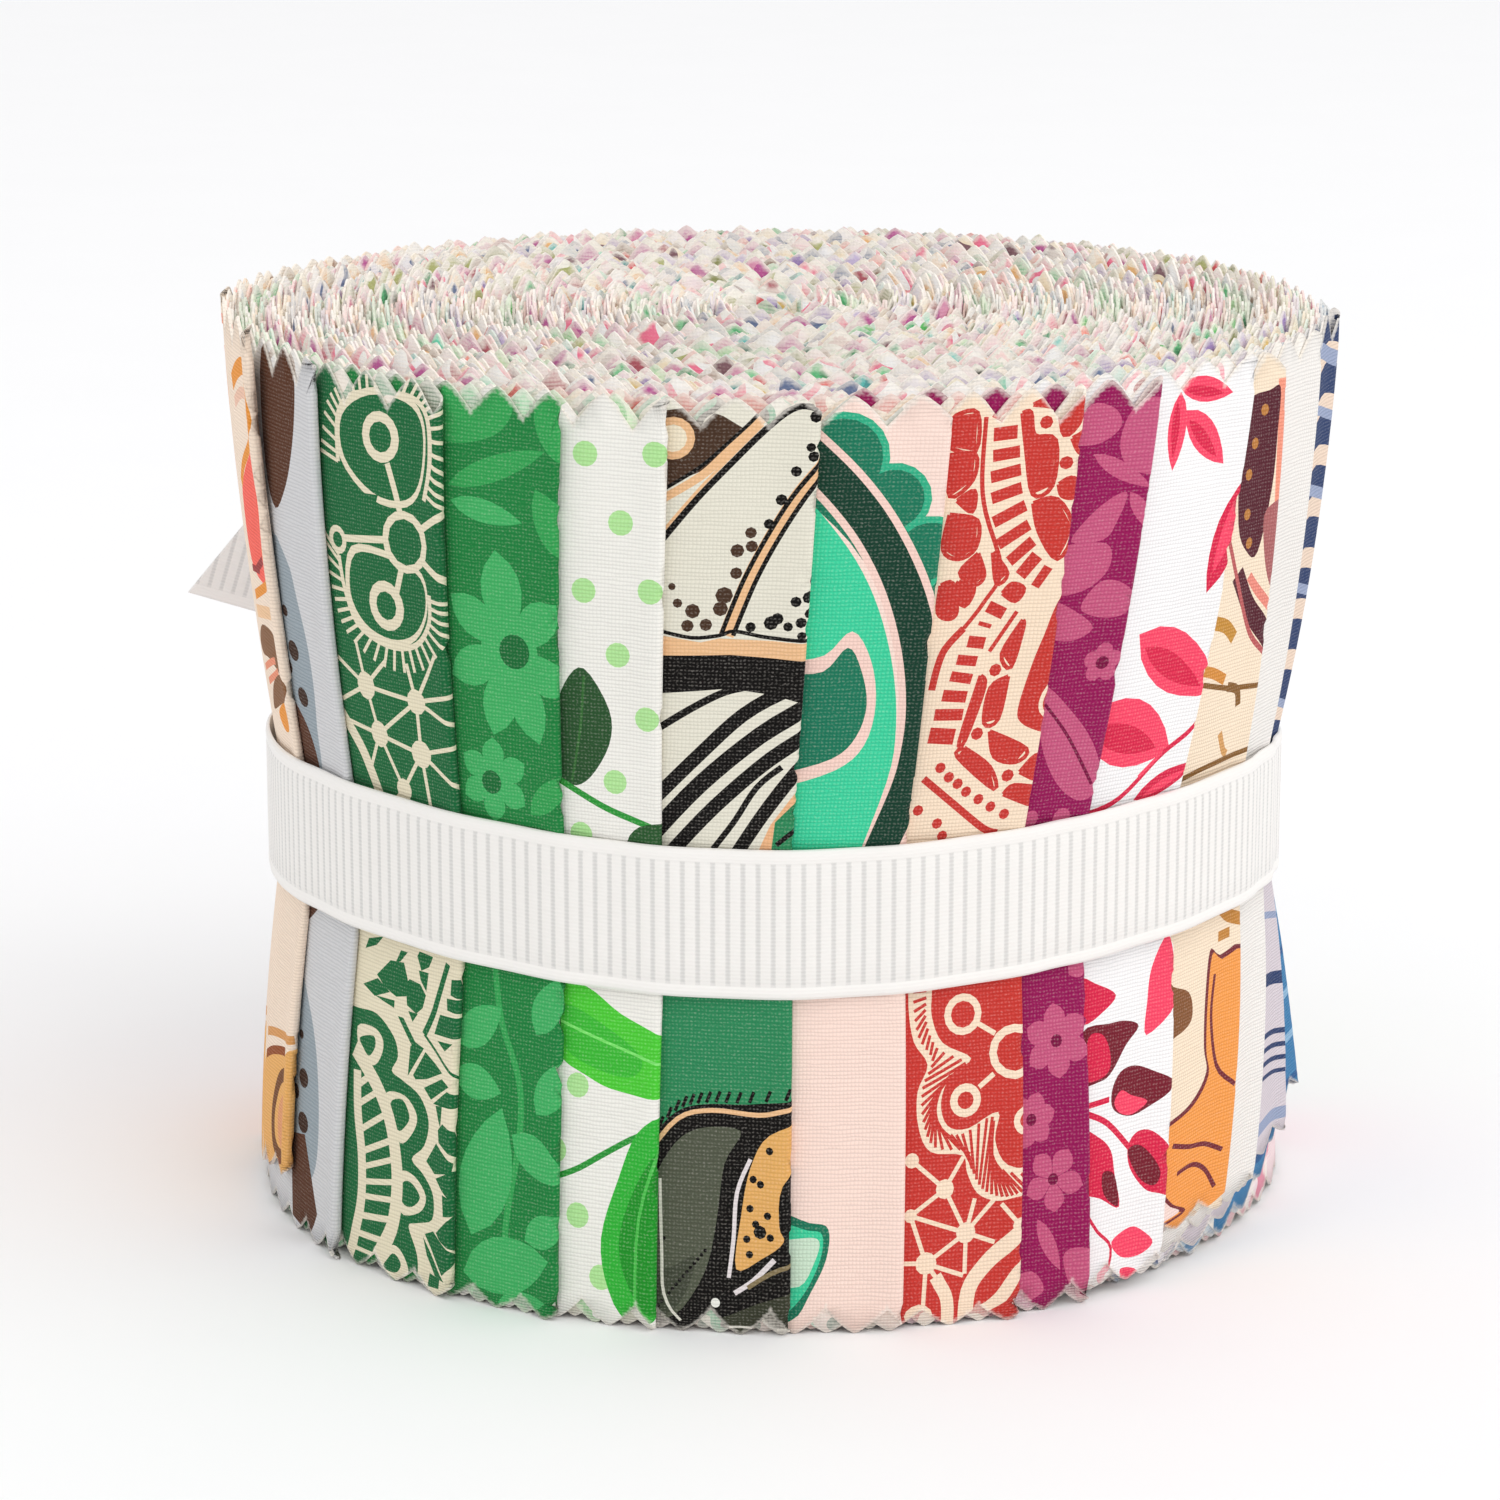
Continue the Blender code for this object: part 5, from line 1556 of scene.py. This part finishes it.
def smooth_route(points, spacing):
    """Evenly spaced places along a smooth curve through the points."""
    points = np.array(points, float)
    fine = np.linspace(0, len(points) - 1, 400)
    padded = np.concatenate([2 * points[:1] - points[1:2], points, 2 * points[-1:] - points[-2:-1]])
    i = np.minimum(fine.astype(int), len(points) - 2)
    t = (fine - i)[:, None]
    p0, p1, p2, p3 = padded[i], padded[i + 1], padded[i + 2], padded[i + 3]
    route = 0.5 * (
        2 * p1 + (p2 - p0) * t + (2 * p0 - 5 * p1 + 4 * p2 - p3) * t**2 + (3 * p1 - p0 - 3 * p2 + p3) * t**3
    )
    gone = np.concatenate([[0.0], np.cumsum(np.linalg.norm(np.diff(route, axis=0), axis=1))])
    even = np.linspace(0.0, gone[-1], max(2, round(gone[-1] / spacing)) + 1)
    return np.stack([np.interp(even, gone, route[:, k]) for k in range(3)], axis=1)


def unit(vectors):
    return vectors / np.linalg.norm(vectors, axis=-1, keepdims=True)


KNOT_BACK = WAIST_RADIUS + 3.2  # from the axis to the middle of the knot


def build_tail(name, node, route, slant, material):
    """A loose end of the ribbon that leaves the knot sideways."""
    centres = smooth_route(route, RIB_PITCH / RIB_STEPS) + np.array([*AXIS, 0.0])
    forward = unit(np.gradient(centres, axis=0))
    side = 1.0 if centres[-1, 0] > centres[0, 0] else -1.0
    outward = unit(np.cross([0.0, 0.0, 1.0], forward) * side * -1.0)
    outward *= np.sign(outward[:, 1:2])
    sideways = unit(np.cross(outward, forward))
    sideways *= np.sign(sideways[:, 2:3])
    share = np.linspace(0.0, 1.0, len(centres))
    gathered = 0.62 + 0.38 * np.clip(share / 0.25, 0.0, 1.0) ** 0.7
    pleats = 0.9 * np.exp(-((share / 0.16) ** 2))
    mesh = ribbon_mesh(
        name, centres, sideways, outward, slant=slant, width=gathered, crumple=pleats
    )
    piece = add_object(mesh, [material] * 2, "ribbon", node)
    return piece


def build_knot(material):
    """The knot: the two ends of the band drawn in to the middle, and a turn of ribbon over them."""
    meshes = []
    for side in (-1.0, 1.0):
        route = [
            (side * 9.5, math.sqrt((WAIST_RADIUS + 0.6) ** 2 - 9.5**2), RIBBON_HEIGHT),
            (side * 6.0, WAIST_RADIUS + 1.2, RIBBON_HEIGHT + 0.4 * side),
            (side * 3.2, KNOT_BACK - 0.2, RIBBON_HEIGHT + 0.6 * side),
            (side * 0.2, KNOT_BACK + 0.4, RIBBON_HEIGHT + 0.4 * side),
        ]
        centres = smooth_route(route, RIB_PITCH / RIB_STEPS) + np.array([*AXIS, 0.0])
        share = np.linspace(0.0, 1.0, len(centres))
        forward = unit(np.gradient(centres, axis=0))
        outward = unit(np.cross(forward, [0.0, 0.0, 1.0]))
        outward *= np.sign(outward[:, 1:2])
        up = straight_up(len(centres))
        width = 0.98 - 0.42 * share**0.8
        meshes.append(
            ribbon_mesh("side", centres, up, outward, width=width, crumple=1.1 * share)
        )
    turn = np.linspace(0.0, math.tau, 220, endpoint=False)
    centres = np.stack(
        [
            AXIS[0] + 1.1 * np.sin(turn),
            AXIS[1] + KNOT_BACK + 0.1 + 2.3 * np.cos(turn),
            RIBBON_HEIGHT + 4.6 * np.sin(turn) * (1 + 0.06 * np.cos(2 * turn)),
        ],
        axis=1,
    )
    outward = unit(np.stack([0 * turn, 4.6 * np.cos(turn), 2.3 * np.sin(turn)], axis=1))
    sideways = np.tile(unit(np.array([1.0, 0.0, -0.18])), (len(turn), 1))
    width = 0.62 + 0.06 * np.sin(turn * 2 + 0.5)
    crumple = 0.55 + 0.2 * np.sin(turn)
    meshes.append(
        ribbon_mesh("turn", centres, sideways, outward, closed=True, width=width, crumple=crumple)
    )
    piece = add_object(join_meshes("ribbon_knot_cloth", meshes), [material] * 2, "ribbon", "ribbon_knot")
    return piece


def join_meshes(name, meshes):
    """One mesh with the shapes of all of them."""
    places, corners, kinds, flat = [], [], [], []
    for mesh in meshes:
        start = len(places)
        places += [vert.co.copy() for vert in mesh.vertices]
        for face in mesh.polygons:
            corners.append([start + i for i in face.vertices])
            kinds.append(face.material_index)
            flat += [mesh.uv_layers[0].data[i].uv.copy() for i in face.loop_indices]
        bpy.data.meshes.remove(mesh)
    joined = bpy.data.meshes.new(name)
    joined.from_pydata(places, [], corners)
    joined.polygons.foreach_set("material_index", kinds)
    joined.uv_layers.new(name="flat").data.foreach_set("uv", np.array(flat).ravel())
    joined.shade_smooth()
    return joined


# ---------------------------------------------------------------------------------------------
# Stage
# ---------------------------------------------------------------------------------------------

FLOOR_COLOUR = ink("fbfbfc")
FLOOR_SHADE = ink("f9f9fa")
WORLD_STRENGTH = 0.92
KEY_POWER = 6.0
KEY_SIZE = 1.4  # metres
KEY_PLACE = (0.75, -0.6, 1.1)
KEY_AIM = Vector((0.0, 0.0, 0.03))
CAMERA_OFFSET = (-1.657, -352.05)  # millimetres from the roll's axis
CAMERA_HEIGHT = 117.21
CAMERA_PITCH = 13.77  # degrees below level


def build_floor():
    bpy.ops.mesh.primitive_plane_add(size=8.0)
    floor = bpy.context.object
    floor.name = "floor"
    floor.data.materials.append(floor_material())
    return floor


def build_lights():
    world = bpy.data.worlds.new("studio")
    world.use_nodes = True
    background = world.node_tree.nodes["Background"]
    background.inputs["Color"].default_value = (1.0, 1.0, 1.0, 1.0)
    background.inputs["Strength"].default_value = WORLD_STRENGTH
    bpy.context.scene.world = world
    key = bpy.data.lights.new("key", "AREA")
    key.energy = KEY_POWER
    key.size = KEY_SIZE
    lamp = bpy.data.objects.new("key", key)
    lamp.location = KEY_PLACE
    lamp.rotation_euler = (KEY_AIM - lamp.location).to_track_quat("-Z", "Y").to_euler()
    bpy.context.scene.collection.objects.link(lamp)


def build_camera():
    camera = bpy.data.cameras.new("camera")
    camera.lens = 120.0
    camera.sensor_width = 36.0
    camera.clip_start = 0.01
    eye = bpy.data.objects.new("camera", camera)
    x, y = AXIS + CAMERA_OFFSET
    eye.location = (x * MM, y * MM, CAMERA_HEIGHT * MM)
    eye.rotation_euler = (math.radians(90.0 - CAMERA_PITCH), 0.0, 0.0)
    bpy.context.scene.collection.objects.link(eye)
    bpy.context.scene.camera = eye


def prepare_strips():
    """Gives every strip its place in the roll and its own chance details."""
    chance = np.random.default_rng(11)
    for index, strip in enumerate(STRIPS):
        strip.index = index
        strip.winding = winding(index)
        strip.phases = chance.uniform(0.0, TOOTH_PITCH, 2)
        strip.sway = chance.uniform(0.0, math.tau, 2)
        strip.slip = chance.uniform(-0.4, 0.7)
        before = FOLDS[index - 1] - (360.0 if index == 0 else 0.0)
        strip.shown = 0.85 * math.radians(strip.fold - before) * ROLL_RADIUS


bpy.context.scene.view_settings.view_transform = "Standard"
build_floor()
build_lights()
build_camera()

prepare_strips()
for strip in STRIPS:
    build_strip(strip)

grosgrain = ribbon_material()
band = build_band(grosgrain)
knot = build_knot(grosgrain)
build_tail(
    "ribbon_left_end",
    "ribbon_tail_long",
    [(-2.0, KNOT_BACK, 28.6), (-9, 39.9, 29.3), (-22, 42.4, 32), (-34, 43.2, 35), (-45.6, 43, 38.4)],
    4.4,
    grosgrain,
)
build_tail(
    "ribbon_right_end",
    "ribbon_tail_short",
    [(2.0, KNOT_BACK, 27.6), (9, 39.8, 26.8), (18, 40.6, 24.4), (26, 40.2, 21.6), (34, 39.0, 18.6)],
    -4.0,
    grosgrain,
)
